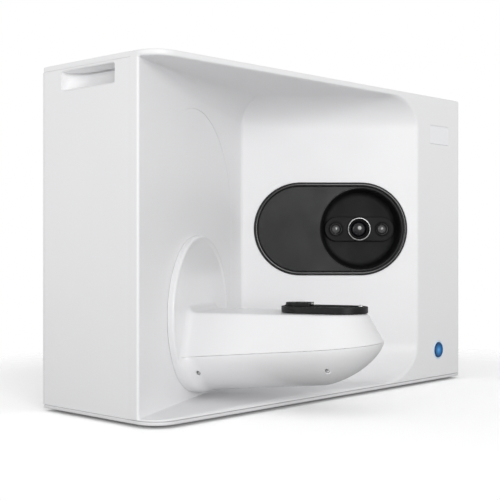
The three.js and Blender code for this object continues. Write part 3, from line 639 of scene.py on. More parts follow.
def build_shell():
    rows = []
    for fx, fy, wx, wy in shell_columns():
        left = wx < 267.4
        st = 1 / math.cos(LA) if left else 1 / S2
        s = (wx - LW[0]) / math.cos(LA)
        dc, dl = (MOUTH_X - wx - wy) * S2, (wx - LW[0]) * LNRM[0] + (wy - LW[1]) * LNRM[1]
        t = float(smooth(-34, 34, np.array(dl - dc)))
        rl = 1.5 + 27.0 * float(smooth(10, 285, np.array(s)))
        rt, rb = rl * (1 - t) + 35 * t, 1.2 * (1 - t) + 42 * t
        depth = max(wy - fy, 0.0)

        def half(r, z_flat, sgn):
            # from the front face, along floor or ceiling, round the corner, to the wall; z runs away from the flat
            out = []
            sr = r * st
            # the corner arc at angle th (0 = flat end, 90 = wall end): y = depth - sr (1 - sin th), z = r (1 - cos th)
            dfl = max(depth - sr, 0.0)
            th0 = 0.0 if depth >= sr else math.asin(min(max(1 - depth / sr, 0.0), 1.0))
            for q in np.linspace(0, 1, 9):
                out.append((dfl * (q ** 0.85) if dfl > 0 else 0.0, 0.0 if dfl > 0 else r * (1 - math.cos(th0))))
            for q in np.linspace(0, 1, 12)[1:]:
                th = th0 + (math.pi / 2 - th0) * q
                out.append((depth - sr * (1 - math.sin(th)) if depth > 0 else 0.0, r * (1 - math.cos(th))))
            return [(y, z_flat + sgn * z) for y, z in out]

        lo = half(rb, FLOOR, 1)
        hi = half(rt, CEIL, -1)
        z_lo, z_hi = lo[0][1], hi[0][1]
        path = []
        zr = min(0.55, 0.3 * (z_lo - SEAM_LO))             # rows close to the seam keep its rounding narrow
        for dz in (0.0, 0.45 * zr, zr):
            path.append((0.0, SEAM_LO + 0.02 + dz))
        for q in (0.12, 0.36, 0.62, 0.84):
            path.append((0.0, SEAM_LO + 0.02 + zr + (z_lo - SEAM_LO - 0.02 - zr) * q))
        path += lo
        z0, z1 = lo[-1][1], hi[-1][1]
        for q in np.linspace(0, 1, 30)[1:-1]:
            path.append((depth, z0 + (z1 - z0) * q))
        path += hi[::-1]
        for q in (0.06, 0.2, 0.42, 0.62, 0.78, 0.87, 0.93, 0.97):
            path.append((0.0, z_hi + (H - z_hi) * q))
        pts = []
        ln = max(depth, 1e-9)
        for y, z in path:
            k = min(max(y / ln, 0.0), 1.0) if depth > 1e-6 else 0.0
            pts.append((fx + (wx - fx) * k, fy + (wy - fy) * k, z))
        # over the top edge and back along the top face to the seam
        nrm = np.array([fx, fy]) - np.array([max(fx, CORNER_R), max(fy, CORNER_R)]) if fx < CORNER_R and fy < CORNER_R else (
            np.array([-1.0, 0.0]) if fx <= 0 else (np.array([1.0, 0.0]) if fx >= W else np.array([0.0, -1.0])))
        if fx > W - 4.5 and fy < 4.5:                      # fan out round the right corner
            nrm = np.array([fx - (W - 4.5), fy - 4.5])
        nrm = nrm / np.linalg.norm(nrm)
        for q in (0.25, 0.7, 1.3, 2.2):
            pts.append((fx - nrm[0] * q, fy - nrm[1] * q, H))
        bx, by = min(fx - nrm[0] * 4.0, W - 4.0), max(fy - nrm[1] * 4.0, 4.0)
        pts.append((bx, by, H))
        for q in (0.35, 0.7, 1.0):
            tx = min(max(bx, 4.0), W - 4.0)
            pts.append((bx + (tx - bx) * q, by + (FRONT_D - by) * q, H))
        rows.append(pts)
    P = np.array(rows)                                     # columns x rows x 3
    nc, nr = P.shape[:2]
    keep_y = np.zeros((nc, nr), bool)
    keep_y[0] = keep_y[-1] = True
    keep_y[:, -1] = True
    flat = P.reshape(-1, 3)
    q = project(shell_field, flat, 14)
    q = q.reshape(nc, nr, 3)
    q[:, -4:] = P[:, -4:]                                  # the strip on the top face stays in its plane
    q[keep_y, 1] = FRONT_D
    P = q
    f = []
    for i in range(nc - 1):
        for j in range(nr - 1):
            a, b, c, d = P[i, j], P[i + 1, j], P[i + 1, j + 1], P[i, j + 1]
            if np.linalg.norm(np.cross(c - a, d - b)) > 2e-3:       # columns that meet in one line give empty faces
                f.append((i * nr + j, (i + 1) * nr + j, (i + 1) * nr + j + 1, i * nr + j + 1))
    return P.reshape(-1, 3), f


sv, sf = build_shell()
shell = obj_from("front_shell_visual", sv, sf, WHITE, "housing", ("front_shell",))
clean(shell, 2e-6, False)
# face the skin outwards: the front column's faces look to -Y
me = shell.data
me.update()
flip = sum(1 if p.normal.y > 0 else -1 for p in me.polygons if abs(p.normal.y) > 0.9)
if flip > 0:
    me.flip_normals()
solidify(shell, 1.6)
for v in shell.data.vertices:
    if v.co.z > (H + 0.05) / 1000.0:                       # the inner skin stays below the top face
        v.co.z = 2 * H / 1000.0 - v.co.z
    v.co.x = max(v.co.x, -W / 2000.0)
boolean(shell, prism(arch_pts(ARCH_R, FLOOR + 1.3), 14, -14, lg))
boolean(shell, prism(stadium_pts(WIN_C, WIN_Z, WIN_A + 0.35, WIN_B + 0.35), 12, -12, cg))
boolean(shell, prism(circle_pts(BTN_X, BTN_Z, 11.25), -8, 8, same))
boolean(shell, prism(rrect_pts(BADGE[0], BADGE[1], BADGE[2], BADGE[3], 0.8, 4), -8, 8, same))
field_normals(shell, shell_field)

# ------------------------------------------------------------------ flat pieces with rounded edges
def plate(name, outline, lo, hi, conv, mat, body, replaces=(), bev=0.6, seg=3, cuts=(), angle=35.0):
    """Plate from a 2-D outline, with holes cut through and its edges rounded."""
    ob = prism(outline, lo, hi, conv)
    ob.name = name
    ob.data.name = name
    ob.data.materials.append(mat)
    for c in cuts:
        boolean(ob, prism(c, lo - 5, hi + 5, conv))
    if bev:
        bevel(ob, bev, seg, angle)
    even_normals(ob, 40)
    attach(ob, body)
    if replaces:
        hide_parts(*replaces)
    return ob


def sidez(p):
    """(y, x, z) outlines for plates that lie in the side plane: outline in y,z and swept over x."""
    return np.column_stack([p[:, 1], p[:, 0], p[:, 2]])


def topz(p):
    """Outline in x,y swept over z."""
    return np.column_stack([p[:, 0], p[:, 2], p[:, 1]])


def plan_pts(y1, r=CORNER_R, r2=4.5, rb=1.5):
    out = []
    for cx, cy, rad, a in ((W - rb, y1 - rb, rb, 0), (rb, y1 - rb, rb, 90), (r, r, r, 180), (W - r2, r2, r2, 270)):
        n = 24 if rad > 10 else 5
        for i in range(n + 1):
            t = math.radians(a + 90 * i / n)
            out.append((cx + rad * math.cos(t), cy + rad * math.sin(t)))
    return out


plate("base_plate_visual", plan_pts(D, rb=2.4), 3.0, 6.3, topz, BASE, "housing", ("base_plate",), 0.9, 4)
for nm, fx, fy in (("foot_front_left", 34, 30), ("foot_front_right", 478, 24), ("foot_rear_left", 28, 142), ("foot_rear_right", 478, 142)):
    prof = [(0, 0), (8.6, 0), (9.6, 0.25), (10.4, 0.8), (11, 1.6), (11, 2.7), (7, 2.7), (6.6, 2.3), (0, 2.3)]
    lathe(nm + "_visual", [(a, b) for a, b in prof], fx, fy, topz, RUBBER, "housing", 48, (nm,))

# side panels with the grip opening, and the scooped grip cups
for side, mirror in (("left", False), ("right", True)):
    def conv(p, m=mirror):
        q = sidez(p)
        if m:
            q[:, 0] = W - q[:, 0]
        return q
    out = rrect_pts(FRONT_D + 0.14, D - 2.86, SEAM_LO, 334.86, 0.3, 2)
    plate(side + "_side_panel_visual", out, 0.0, 2.5, conv, WHITE, "housing", (side + "_side_panel",), 0.22, 2,
          cuts=(rrect_pts(HY0, HY1, HZ0, HZ1, 3.0, 6),))
    ya, yb, za, zb = HY0 + 0.12, HY1 - 0.12, HZ0 + 0.12, HZ1 - 0.12
    ny, rows = 54, []
    ys = ya + (yb - ya) * (0.5 - 0.5 * np.cos(np.pi * np.linspace(0, 1, ny)))
    for y in ys:
        # depth share along the grip: short round at the front end, long sweep at the rear end
        ef = math.sqrt(max(1 - max(0.0, (ya + 4.0 - y) / 4.0) ** 2, 0.0))
        er = math.sqrt(max(1 - max(0.0, (y - (yb - 24.0)) / 24.0) ** 2.2, 0.0))
        e = min(ef, er)
        dep = 21.0 * e
        prof = []
        lip = 3.0
        for i in range(9):                       # soft lower lip
            t = math.radians(90 * i / 8)
            prof.append((0.12 + lip * (1 - math.cos(t)) * min(1, e * 3), za + lip * math.sin(t) * 0.55))
        x0, z0 = prof[-1]
        for i in range(1, 17):                   # floor sweeps up to the back wall
            t = math.radians(90 * i / 16)
            prof.append((x0 + max(dep - x0, 0) * math.sin(t) ** 0.9, z0 + (zb - 3.0 - z0) * (1 - math.cos(t))))
        bx = max(dep, x0)
        gd = 2.6 * min(1.0, max(0.0, (dep - 2.0) / 5.0))            # undercut of the shadow joint
        prof += [(bx, zb - 2.9), (bx + gd, zb - 2.8), (bx + gd, zb - 1.1), (bx, zb - 1.0)]
        for q in (0.75, 0.5, 0.25, 0.08):
            prof.append((0.5 + (bx - 0.5) * q, zb - 0.95 + 0.35 * (1 - q)))
        prof += [(0.35, zb - 0.55), (0.16, zb - 0.4), (0.12, zb - 0.2), (0.12, zb)]
        rows.append([(y, x, z) for x, z in prof])
    P = np.array(rows)
    nr = P.shape[1]
    faces = [(i * nr + j, (i + 1) * nr + j, (i + 1) * nr + j + 1, i * nr + j + 1) for i in range(ny - 1) for j in range(nr - 1)]
    V = conv(np.column_stack([P.reshape(-1, 3)[:, 0], P.reshape(-1, 3)[:, 1], P.reshape(-1, 3)[:, 2]]))
    cup = obj_from(side + "_handle_cup_visual", V, faces, GRIP_WHITE_PAINTED_LIGHT, "housing", (side + "_handle_cup",))
    cup.data.update()
    want = -1 if side == "left" else 1
    if sum(pp.normal.x for pp in cup.data.polygons) * want < 0:
        cup.data.flip_normals()
    clean(cup, 2e-6, False)
    md = cup.modifiers.new("s", "SOLIDIFY"); md.thickness = 0.0011; md.offset = -1.0; md.use_even_offset = False
    apply_mods(cup)
    sharp_normals(cup, 50)

# top cover: plate with short side and rear flanges
top_out = [(0.0, FRONT_D + 0.14), (W, FRONT_D + 0.14)] + [(W - 2.4 + 2.4 * math.cos(t), D - 2.4 + 2.4 * math.sin(t)) for t in np.linspace(0, math.pi / 2, 7)] + \
          [(2.4 - 2.4 * math.sin(t), D - 2.4 + 2.4 * math.cos(t)) for t in np.linspace(0, math.pi / 2, 7)]
top = plate("top_cover_visual", top_out, 336.3, H, topz, WHITE, "housing", ("top_cover",), 0)
for c in (prism(rrect_pts(0, 2.5, FRONT_D + 0.14, D - 2.4, 0.05, 2), 335.0, 337.0, topz), prism(rrect_pts(W - 2.5, W, FRONT_D + 0.14, D - 2.4, 0.05, 2), 335.0, 337.0, topz),
          prism(rrect_pts(1.2, W - 1.2, D - 2.7, D, 0.2, 2), 335.0, 337.0, topz)):
    boolean(top, c, "UNION")
bevel_sel(top, lambda x, y, z: z > H - 0.05 and y > FRONT_D + 1 and (x < 0.05 or x > W - 0.05 or y > D - 0.05 or ((x < 2.5 or x > W - 2.5) and y > D - 2.5)), 1.3, 4)
bevel(top, 0.3, 2, 50)
even_normals(top, 40)

# rear cover with vents, fan grille and port openings
FAN_X, FAN_Z, PORT_Z, USB_X, DC_X = 418.0, 250.0, 44.0, 392.0, 432.0
cuts = [rrect_pts(90 - 38, 90 + 38, 232 + i * 9 - 1.5, 232 + i * 9 + 1.5, 1.45, 5) for i in range(6)]
for i in range(-3, 4):
    a = math.sqrt(27.5 ** 2 - (i * 7.4) ** 2)
    cuts.append(rrect_pts(FAN_X - a, FAN_X + a, FAN_Z + i * 7.4 - 1.6, FAN_Z + i * 7.4 + 1.6, 1.55, 5))
cuts.append(rrect_pts(USB_X - 6.4, USB_X + 6.4, PORT_Z - 6, PORT_Z + 6, 0.8, 4))
cuts.append(circle_pts(DC_X, PORT_Z, 7.4, 48))
rear = plate("rear_cover_visual", rrect_pts(0, W, SEAM_LO, 334.7, 0.5, 2), D - 2.7, D, same, SATIN, "housing", ("rear_cover",), 0, cuts=cuts)
bevel_sel(rear, lambda x, y, z: y > D - 0.05 and (x < 0.05 or x > W - 0.05), 1.7, 4)
bevel(rear, 0.4, 2, 50)
even_normals(rear, 35)

# arched panel behind the disc, with the hidden lift slot
slot_pts = [(9.5 * math.cos(t), TILT_Z + 70 + 9.5 * math.sin(t) * 1.0) for t in np.linspace(0, math.pi, 20)] + \
           [(-9.5 * math.cos(t), TILT_Z - 9.5 * math.sin(t)) for t in np.linspace(0, math.pi, 20)]
# the joint round the panel is widest at its upper right shoulder
arch_out = [(ARCH_R - 0.15, FLOOR + 0.5)]
for t in np.linspace(0, math.pi, 121):
    rr = ARCH_R - 0.15 - 0.42 * math.exp(-((t - math.radians(48)) / math.radians(30)) ** 2)
    arch_out.append((rr * math.cos(t), ARCH_Z + rr * math.sin(t)))
arch_out.append((-ARCH_R + 0.15, FLOOR + 0.5))
plate("arch_panel_visual", arch_out, -5.3, -0.05, lg, WHITE, "housing", ("arch_panel",), 0.12, 1, cuts=(slot_pts,))


# ------------------------------------------------------------------ arm: disc, hull and cover from one surface function
def arm_uvz(p):
    q = p[:, :2] - LORG
    return q @ LDIR, q @ LNRM, p[:, 2]


def arm_field(p):
    u, L, z = arm_uvz(p)
    r = np.hypot(u, z - TILT_Z)
    Lf = 6.1 + 0.7 * smooth(DISC_R - 9.0, DISC_R - 3.0, r)
    disc = i_round(r - DISC_R, L - Lf, 2.4)
    zc = CREASE_Z + SLOPE * L
    m = np.maximum(L - ARM_C, 0)
    # lower hull
    rho = np.sqrt((u / CREASE_W) ** 2 + (m / CREASE_A) ** 2) + 1e-9
    grho = np.sqrt((u / CREASE_W ** 2) ** 2 + (m / CREASE_A ** 2) ** 2) / rho
    q = np.maximum(zc - z, 0) / HULL_D + 1e-9
    G = (rho ** HULL_P + q ** HULL_P) ** (1 / HULL_P)
    kr, kq = (rho / G) ** (HULL_P - 1), (q / G) ** (HULL_P - 1)
    low = (G - 1) / np.sqrt((kr * grho) ** 2 + (kq / HULL_D) ** 2 + 1e-12)
    # upper cover
    s = np.clip((z - zc) / (ARM_TOP - zc), 0, 1.3)
    w, a = CREASE_W + (TOP_W - CREASE_W) * s, CREASE_A + (TOP_A - CREASE_A) * s
    ru = np.sqrt((u / w) ** 2 + (m / a) ** 2) + 1e-9
    gu = np.sqrt((u / w ** 2) ** 2 + (m / a ** 2) ** 2) / ru
    up = (ru - 1) / np.sqrt(gu ** 2 * 1.15 + 1e-12)
    body = np.where(z < zc, low, up)
    body = i_round(body, z - ARM_TOP, 2.4)
    k = 8.0 + 9.0 * smooth(10, -14, z - zc)
    d = u_round(disc, body, k)
    d = i_round(d, r - DISC_R, 2.6)
    hole = np.maximum(np.hypot(u, L - ARM_C) - 12.5, 86 - z)
    return i_round(d, -hole, 0.8)


def arm_local(p):
    return arm_field(lg(p))


def build_arm():
    v, f = surface_net(arm_local, (-83.0, -3.4, 11.5), (83.0, 196.5, 177.5), 1.35)
    return v, f


av, af = build_arm()
av = lg(av)
av = project(arm_field, av, 6, 1.0)


def arm_piece(name, part, replaces, gap=0.10, cut_l=7.6, back=0.3, lip=0.85, sink=0.42):
    me = bpy.data.meshes.new(name)
    me.from_pydata([tuple(x) for x in o2w(av)], [], [tuple(int(i) for i in q) for q in af])
    bm = bmesh.new()
    bm.from_mesh(me)
    sgn = -1 if part == "hull" else 1
    # crease plane: z = CREASE_Z + SLOPE L + sgn gap; points and normals in the row frame
    c0 = o2w(lg([[0, 0, CREASE_Z + sgn * gap]])[0])
    nrm = np.array([-SLOPE * LNRM[0], -SLOPE * LNRM[1], 1.0])
    nrm /= np.linalg.norm(nrm)
    geom = bm.verts[:] + bm.edges[:] + bm.faces[:]
    bmesh.ops.bisect_plane(bm, geom=geom, dist=1e-7, plane_co=c0, plane_no=nrm)
    c0b = o2w(lg([[0, 0, CREASE_Z + sgn * (gap + lip)]])[0])
    geom = bm.verts[:] + bm.edges[:] + bm.faces[:]
    bmesh.ops.bisect_plane(bm, geom=geom, dist=1e-7, plane_co=c0b, plane_no=nrm)
    c1 = o2w(lg([[0, cut_l, 0]])[0])
    geom = bm.verts[:] + bm.edges[:] + bm.faces[:]
    bmesh.ops.bisect_plane(bm, geom=geom, dist=1e-7, plane_co=c1, plane_no=(LNRM[0], LNRM[1], 0))
    c2 = o2w(lg([[0, back, 0]])[0])
    geom = bm.verts[:] + bm.edges[:] + bm.faces[:]
    bmesh.ops.bisect_plane(bm, geom=geom, dist=1e-7, plane_co=c2, plane_no=(LNRM[0], LNRM[1], 0), clear_inner=True)
    if part == "hull":
        rim = [e for e in bm.edges if len(e.link_faces) == 1 and all(abs((v.co.x * 1000 + W / 2 - LORG[0]) * LNRM[0] + (v.co.y * 1000 + YC - LORG[1]) * LNRM[1] - back) < 0.01 for v in e.verts)]
        bmesh.ops.contextual_create(bm, geom=rim)
    kill = []
    for fc in bm.faces:
        c = fc.calc_center_median() * 1000
        cx, cy = c.x + W / 2 - LORG[0], c.y + YC - LORG[1]
        L = cx * LNRM[0] + cy * LNRM[1]
        u = cx * LDIR[0] + cy * LDIR[1]
        above = c.z > CREASE_Z + SLOPE * L + sgn * gap
        upper = above and L > cut_l
        bad = upper if part == "hull" else not upper
        if part == "cover" and math.hypot(u, L - ARM_C) < 13.2 and c.z < 93.5:
            bad = True
        if bad:
            kill.append(fc)
    bmesh.ops.delete(bm, geom=kill, context="FACES")
    # sink the lip of the joint so that it reads as a soft line
    lipv = []
    for v in bm.verts:
        cx, cy = v.co.x * 1000 + W / 2 - LORG[0], v.co.y * 1000 + YC - LORG[1]
        L = cx * LNRM[0] + cy * LNRM[1]
        if L > cut_l - 0.01 and abs(v.co.z * 1000 - CREASE_Z - SLOPE * L - sgn * gap) < 0.02:
            lipv.append((v, L))
    if lipv:
        pc = np.array([v.co[:] for v, _ in lipv]) * 1000 + np.array([W / 2, YC, 0])
        gv, _ = grad(arm_field, pc)
        for (v, L), n in zip(lipv, gv):
            k = sink * min(1.0, max(0.0, (L - cut_l) / 14.0))
            n = np.array([n[0], n[1], 0.0]); n /= max(np.linalg.norm(n), 1e-6)
            v.co.x -= n[0] * k / 1000
            v.co.y -= n[1] * k / 1000
    bm.to_mesh(me)
    bm.free()
    ob = bpy.data.objects.new(name, me)
    bpy.context.scene.collection.objects.link(ob)
    me.materials.append(GLOSS)
    for pl in me.polygons:
        pl.use_smooth = True
    me.update()
    # the skin faces outwards
    co = np.array([pl.center for pl in me.polygons]); no = np.array([pl.normal for pl in me.polygons])
    g, _ = grad(arm_field, co * 1000 + np.array([W / 2, YC, 0]))
    if (g * no).sum() < 0:
        me.flip_normals()
    solidify(ob, 1.8)
    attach(ob, "arm")
    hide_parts(*replaces)
    return ob


hull = arm_piece("arm_hull_visual", "hull", ("arm_hull",))
cover = arm_piece("arm_cover_visual", "cover", ("arm_cover",))
# two sunk screw holes in the left flank
for L, z in ((19.4, 38.7), (147.3, 44.9)):
    q = (CREASE_Z + SLOPE * L - z) / HULL_D
    k = (1 - q ** HULL_P) ** (1 / HULL_P)
    m = max(L - ARM_C, 0) / CREASE_A
    uu = -CREASE_W * math.sqrt(max(k * k - m * m, 0))
    ring = [(L + 2.25 * math.cos(t), z + 2.25 * math.sin(t)) for t in np.linspace(0, 2 * math.pi, 33)[:-1]]
    boolean(hull, prism(ring, uu - 9, uu + 6, lambda p: lg(np.column_stack([p[:, 1], p[:, 0], p[:, 2]]))))
field_normals(hull, arm_field, 0.6)
field_normals(cover, arm_field, 0.6)
for nm, L, z in (("arm_screw_inner", 19.4, 38.7), ("arm_screw_outer", 147.3, 44.9)):
    q = (CREASE_Z + SLOPE * L - z) / HULL_D
    k = (1 - q ** HULL_P) ** (1 / HULL_P)
    m = max(L - ARM_C, 0) / CREASE_A
    uu = -CREASE_W * math.sqrt(max(k * k - m * m, 0))
    y0 = uu + 2.6
    lathe(nm.replace("screw", "counterbore") + "_visual", [(3.2, uu + 2.4), (3.2, uu + 6.4), (1.3, uu + 6.4), (1.3, uu + 5.3), (2.0, uu + 5.3), (2.35, uu + 5.0), (2.35, uu + 2.4)],
          L, z, lambda p: lg(np.column_stack([p[:, 1], p[:, 0], p[:, 2]])), GLOSS, "arm", 32, (), 40)
    prof = [(0, y0 + 0.6), (0.75, y0 + 0.6), (0.85, y0 + 0.1), (1.5, y0), (1.95, y0 + 0.3), (1.95, y0 + 1.0), (1.1, y0 + 1.3), (1.1, y0 + 8.0), (0, y0 + 8.4)]
    lathe(nm + "_visual", prof, L, z, lambda p: lg(np.column_stack([p[:, 1], p[:, 0], p[:, 2]])), STEEL, "arm", 28, (nm,))

# ------------------------------------------------------------------ jig plate, jaw and pins
def lgt(p):
    """Outline in u,L swept over z, in the drive frame."""
    return lg(np.column_stack([p[:, 0], p[:, 2], p[:, 1]]))


def stad_v(a0, a1, r, n=28, u0=0.0):
    return [(u0 + r * math.cos(t), a1 + r * math.sin(t)) for t in np.linspace(0, math.pi, n)] + \
           [(u0 - r * math.cos(t), a0 - r * math.sin(t)) for t in np.linspace(0, math.pi, n)]


tp = prism(stad_v(ARM_C - 18.2, ARM_C + 18.2, 25.0, 40), PZ, PZ + PT, lgt)
tp.name = "turntable_plate_visual"
tp.data.materials.append(PLATE)
# jaw slot, shallow jig channel and two key pockets
boolean(tp, prism([(-4.2, ARM_C - 40), (4.2, ARM_C - 40), (4.2, ARM_C - 6), (-4.2, ARM_C - 6)], PZ + 2, PZ + PT + 3, lgt))
boolean(tp, prism(stad_v(ARM_C + 4, ARM_C + 27, 15.5, 30), PZ + PT - 1.0, PZ + PT + 3, lgt))
for du in (-18.5, 18.5):
    boolean(tp, prism(stad_v(ARM_C - 9, ARM_C + 9, 1.7, 12, du), PZ + PT - 1.6, PZ + PT + 3, lgt))
bevel(tp, 0.55, 3, 40)
even_normals(tp, 40)
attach(tp, "turntable"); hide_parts("turntable_plate")

jw = prism([(12 * math.cos(t), ARM_C - 27 - 12 * math.sin(t)) for t in np.linspace(0, math.pi, 26)] + [(-12, ARM_C - 13.6), (12, ARM_C - 13.6)], PZ + PT + 0.3, PZ + PT + 3.4, lgt)
jw.name = "clamp_jaw_visual"
jw.data.materials.append(PLATE)
boolean(jw, prism([(-3.9, ARM_C - 39.4), (3.9, ARM_C - 39.4), (3.9, ARM_C - 18), (-3.9, ARM_C - 18)], PZ + 2.3, PZ + PT + 1.0, lgt), "UNION")
boolean(jw, prism([(2.2 * math.cos(t), ARM_C - 27 + 2.2 * math.sin(t)) for t in np.linspace(0, 2 * math.pi, 25)[:-1]], PZ + PT + 2.0, PZ + PT + 5, lgt))
bevel(jw, 0.7, 3, 40)
even_normals(jw, 40)
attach(jw, "jaw"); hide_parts("clamp_jaw")

lathe("jaw_pin_visual", [(0, -(ARM_C - 10.9) * 1.0), (0.9, -(ARM_C - 10.9)), (1.5, -(ARM_C - 11.5)), (1.5, -(ARM_C - 13.3)), (0, -(ARM_C - 13.3))][::-1], 0, PZ + PT + 1.9,
      lambda p: lg(np.column_stack([p[:, 0], -p[:, 1], p[:, 2]])), STEEL, "jaw", 28, ("jaw_pin",))
zt = PZ + PT
lathe("fixed_pin_visual", [(0, zt + 2.0), (1.3, zt + 2.0), (2.0, zt + 1.5), (2.2, zt + 0.9), (2.2, zt + 0.3), (0, zt + 0.3)], 0, ARM_C + 36.4, lgt, STEEL, "turntable", 32, ("fixed_pin",))


# ------------------------------------------------------------------ camera window
def sweep(name, prof, cx, cz, a, b, conv, mat, body, replaces=(), n=48, midx=None):
    """Closed profile (inset, y) carried round a stadium."""
    m, rings = len(prof), []
    for t, y in prof:
        pts = stadium_pts(cx, cz, a - t, b - t, n)
        rings.append([(x, y, z) for x, z in pts])
    k = len(rings[0])
    V = np.array([p for r_ in rings for p in r_])
    faces = [(i * k + j, i * k + (j + 1) % k, ((i + 1) % m) * k + (j + 1) % k, ((i + 1) % m) * k + j) for i in range(m) for j in range(k)]
    ob = obj_from(name, conv(V), faces, mat, body, replaces)
    if midx:
        for i in range(m):
            for j in range(k):
                ob.data.polygons[i * k + j].material_index = midx(i)
    clean(ob)
    sharp_normals(ob, 24)
    return ob


bez = [(0.0, 5.0), (0.0, -0.1)] + [(2.35 - 2.35 * math.cos(t), -0.1 - 1.9 * math.sin(t)) for t in np.linspace(0.12, math.pi - 0.3, 15)] + [(4.7, -0.5), (4.75, -0.2), (4.6, 5.0)]
sweep("window_bezel_visual", bez, WIN_C, WIN_Z, WIN_A, WIN_B, cg, BEZEL, "housing", ("window_bezel",), 64)
plate("window_panel_visual", stadium_pts(WIN_C, WIN_Z, WIN_A - 4.9, WIN_B - 4.9, 64), -0.8, 1.7, cg, PANEL, "housing", ("window_panel",), 0.25, 2,
      cuts=(circle_pts(POD_C, WIN_Z, POD_R, 128),), angle=30)
cupo = lathe("lens_cup_visual", [(47.75, -0.55), (47.75, 1.9), (46.2, 18), (0, 18), (0, 16)][:4] + [(0, 16.0), (38.0, 16.0), (40.6, 15.6), (42.6, 14.2), (43.6, 12.4), (46.2, 0.6), (46.7, -0.3), (47.2, -0.6)],
             POD_C, WIN_Z, cg, RECESS, "housing", 144, ("lens_cup",))
bar = prism(stadium_pts(POD_C, WIN_Z, 41, 14.5, 40), 12.4, 16.2, cg)
bar.name = "lens_bar_visual"
bar.data.materials.append(RECESS)
for i, x in enumerate(LENS_X):
    boolean(cupo, prism(circle_pts(x, WIN_Z, 13.4 if i == 1 else 8.1, 48), 10, 30, cg))
    boolean(bar, prism(circle_pts(x, WIN_Z, 13.4 if i == 1 else 8.1, 48), 5, 30, cg))
bevel(bar, 0.8, 3, 40)
even_normals(bar, 40)
sharp_normals(cupo, 35)
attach(bar, "housing"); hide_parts("lens_bar")

# projector: dark stepped barrel with a fine bright ring, deep black throat and a domed front element
pb = [(13.6, 23.7), (13.6, 10.9), (13.45, 10.55), (13.1, 10.4), (12.6, 10.4), (12.3, 10.6), (12.1, 11.2), (11.6, 11.4), (11.2, 11.9), (11.2, 13.0), (10.6, 13.2), (10.3, 13.8), (9.6, 14.0), (9.4, 15.0), (9.4, 23.7)]
o = lathe("projector_barrel_visual", pb, LENS_X[1], WIN_Z, cg, [RECESS, RING_EDGE], "housing", 72, ("projector_barrel",), 30,
          midx=lambda s: 1 if s in (1, 2, 3, 4) else 0)
lathe("projector_lens_visual", [(0, 12.6), (1.6, 12.66), (3.2, 12.84), (4.8, 13.16), (6.2, 13.6), (7.4, 14.2), (8.4, 15.0), (9.0, 16.0), (9.1, 17.6), (0, 17.6)], LENS_X[1], WIN_Z, cg, LENS, "housing", 64,
      ("projector_lens",), 40)
for nm, x in (("left_camera", LENS_X[0]), ("right_camera", LENS_X[2])):
    cb = [(8.3, 23.7), (8.3, 12.0), (8.15, 11.6), (7.8, 11.4), (7.3, 11.4), (6.9, 11.7), (6.6, 12.4), (6.0, 12.8), (5.9, 14.4), (5.9, 23.7)]
    lathe(nm + "_barrel_visual", cb, x, WIN_Z, cg, [RECESS, RING], "housing", 56, (nm + "_barrel",), 30, midx=lambda s: 1 if s in (5, 6) else 0)
    lathe(nm + "_lens_visual", [(0, 12.7), (1.4, 12.78), (2.7, 13.0), (3.8, 13.4), (4.8, 14.0), (5.5, 14.9), (5.7, 16.4), (5.7, 17.6), (0, 17.6)], x, WIN_Z, cg, LENS_SIDE, "housing", 48, (nm + "_lens",), 40)

# ------------------------------------------------------------------ power button and blank badge
br = [(11.0, 3.0), (11.0, -0.1), (10.85, -0.45), (10.5, -0.68), (10.1, -0.7), (9.75, -0.6), (9.5, -0.3), (9.3, 0.2), (9.3, 3.0)]
lathe("button_ring_visual", br, BTN_X, BTN_Z, same, HALO, "housing", 72, ("button_ring",), 40)
bc = [(0, -0.55), (3.0, -0.6), (5.5, -0.75), (7.2, -1.0), (7.9, -1.1), (8.4, -1.02), (8.75, -0.8), (8.95, -0.4), (9.0, 0.2), (9.0, 3.6), (3.0, 3.6), (3.0, 6.2), (0, 6.2)]
lathe("power_button_visual", bc, BTN_X, BTN_Z, same, BLUE, "button", 72, ("power_button",), 40)
bx0, bx1, bz0, bz1 = BADGE[0] + 0.14, BADGE[1] - 0.14, BADGE[2] + 0.2, BADGE[3] - 0.2
bp = prism(rrect_pts(bx0, bx1, bz0, bz1, 0.6, 4), -0.05, 0.55, same)
bp.name = "badge_plate_visual"
bp.data.materials.append(BADGE_M)
frm = prism(rrect_pts(bx0 + 1.1, bx1 - 1.1, bz0 + 1.1, bz1 - 1.1, 0.4, 3), -1.0, 0.12, same)
boolean(bp, frm)
bevel(bp, 0.12, 2, 40)
even_normals(bp, 40)
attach(bp, "housing"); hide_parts("badge_plate")

# ------------------------------------------------------------------ camera, light and stage
cam_d = bpy.data.cameras.new("camera")
cam = bpy.data.objects.new("camera", cam_d)
bpy.context.scene.collection.objects.link(cam)
cam.location = (-0.869543, -0.715989, 0.167286)
cam.rotation_euler = (math.pi / 2, 0, -0.805785)
cam_d.sensor_width = 36.0
cam_d.lens = 74.917
cam_d.shift_x = 0.044
cam_d.shift_y = -0.0162
cam_d.clip_end = 50
bpy.context.scene.camera = cam

sc = bpy.context.scene
sc.view_settings.view_transform = "Standard"
sc.view_settings.look = "None"
world = bpy.data.worlds.new("world")
sc.world = world
world.use_nodes = True
bg = world.node_tree.nodes["Background"]
bg.inputs["Color"].default_value = (1, 1, 1, 1)
wnt = world.node_tree
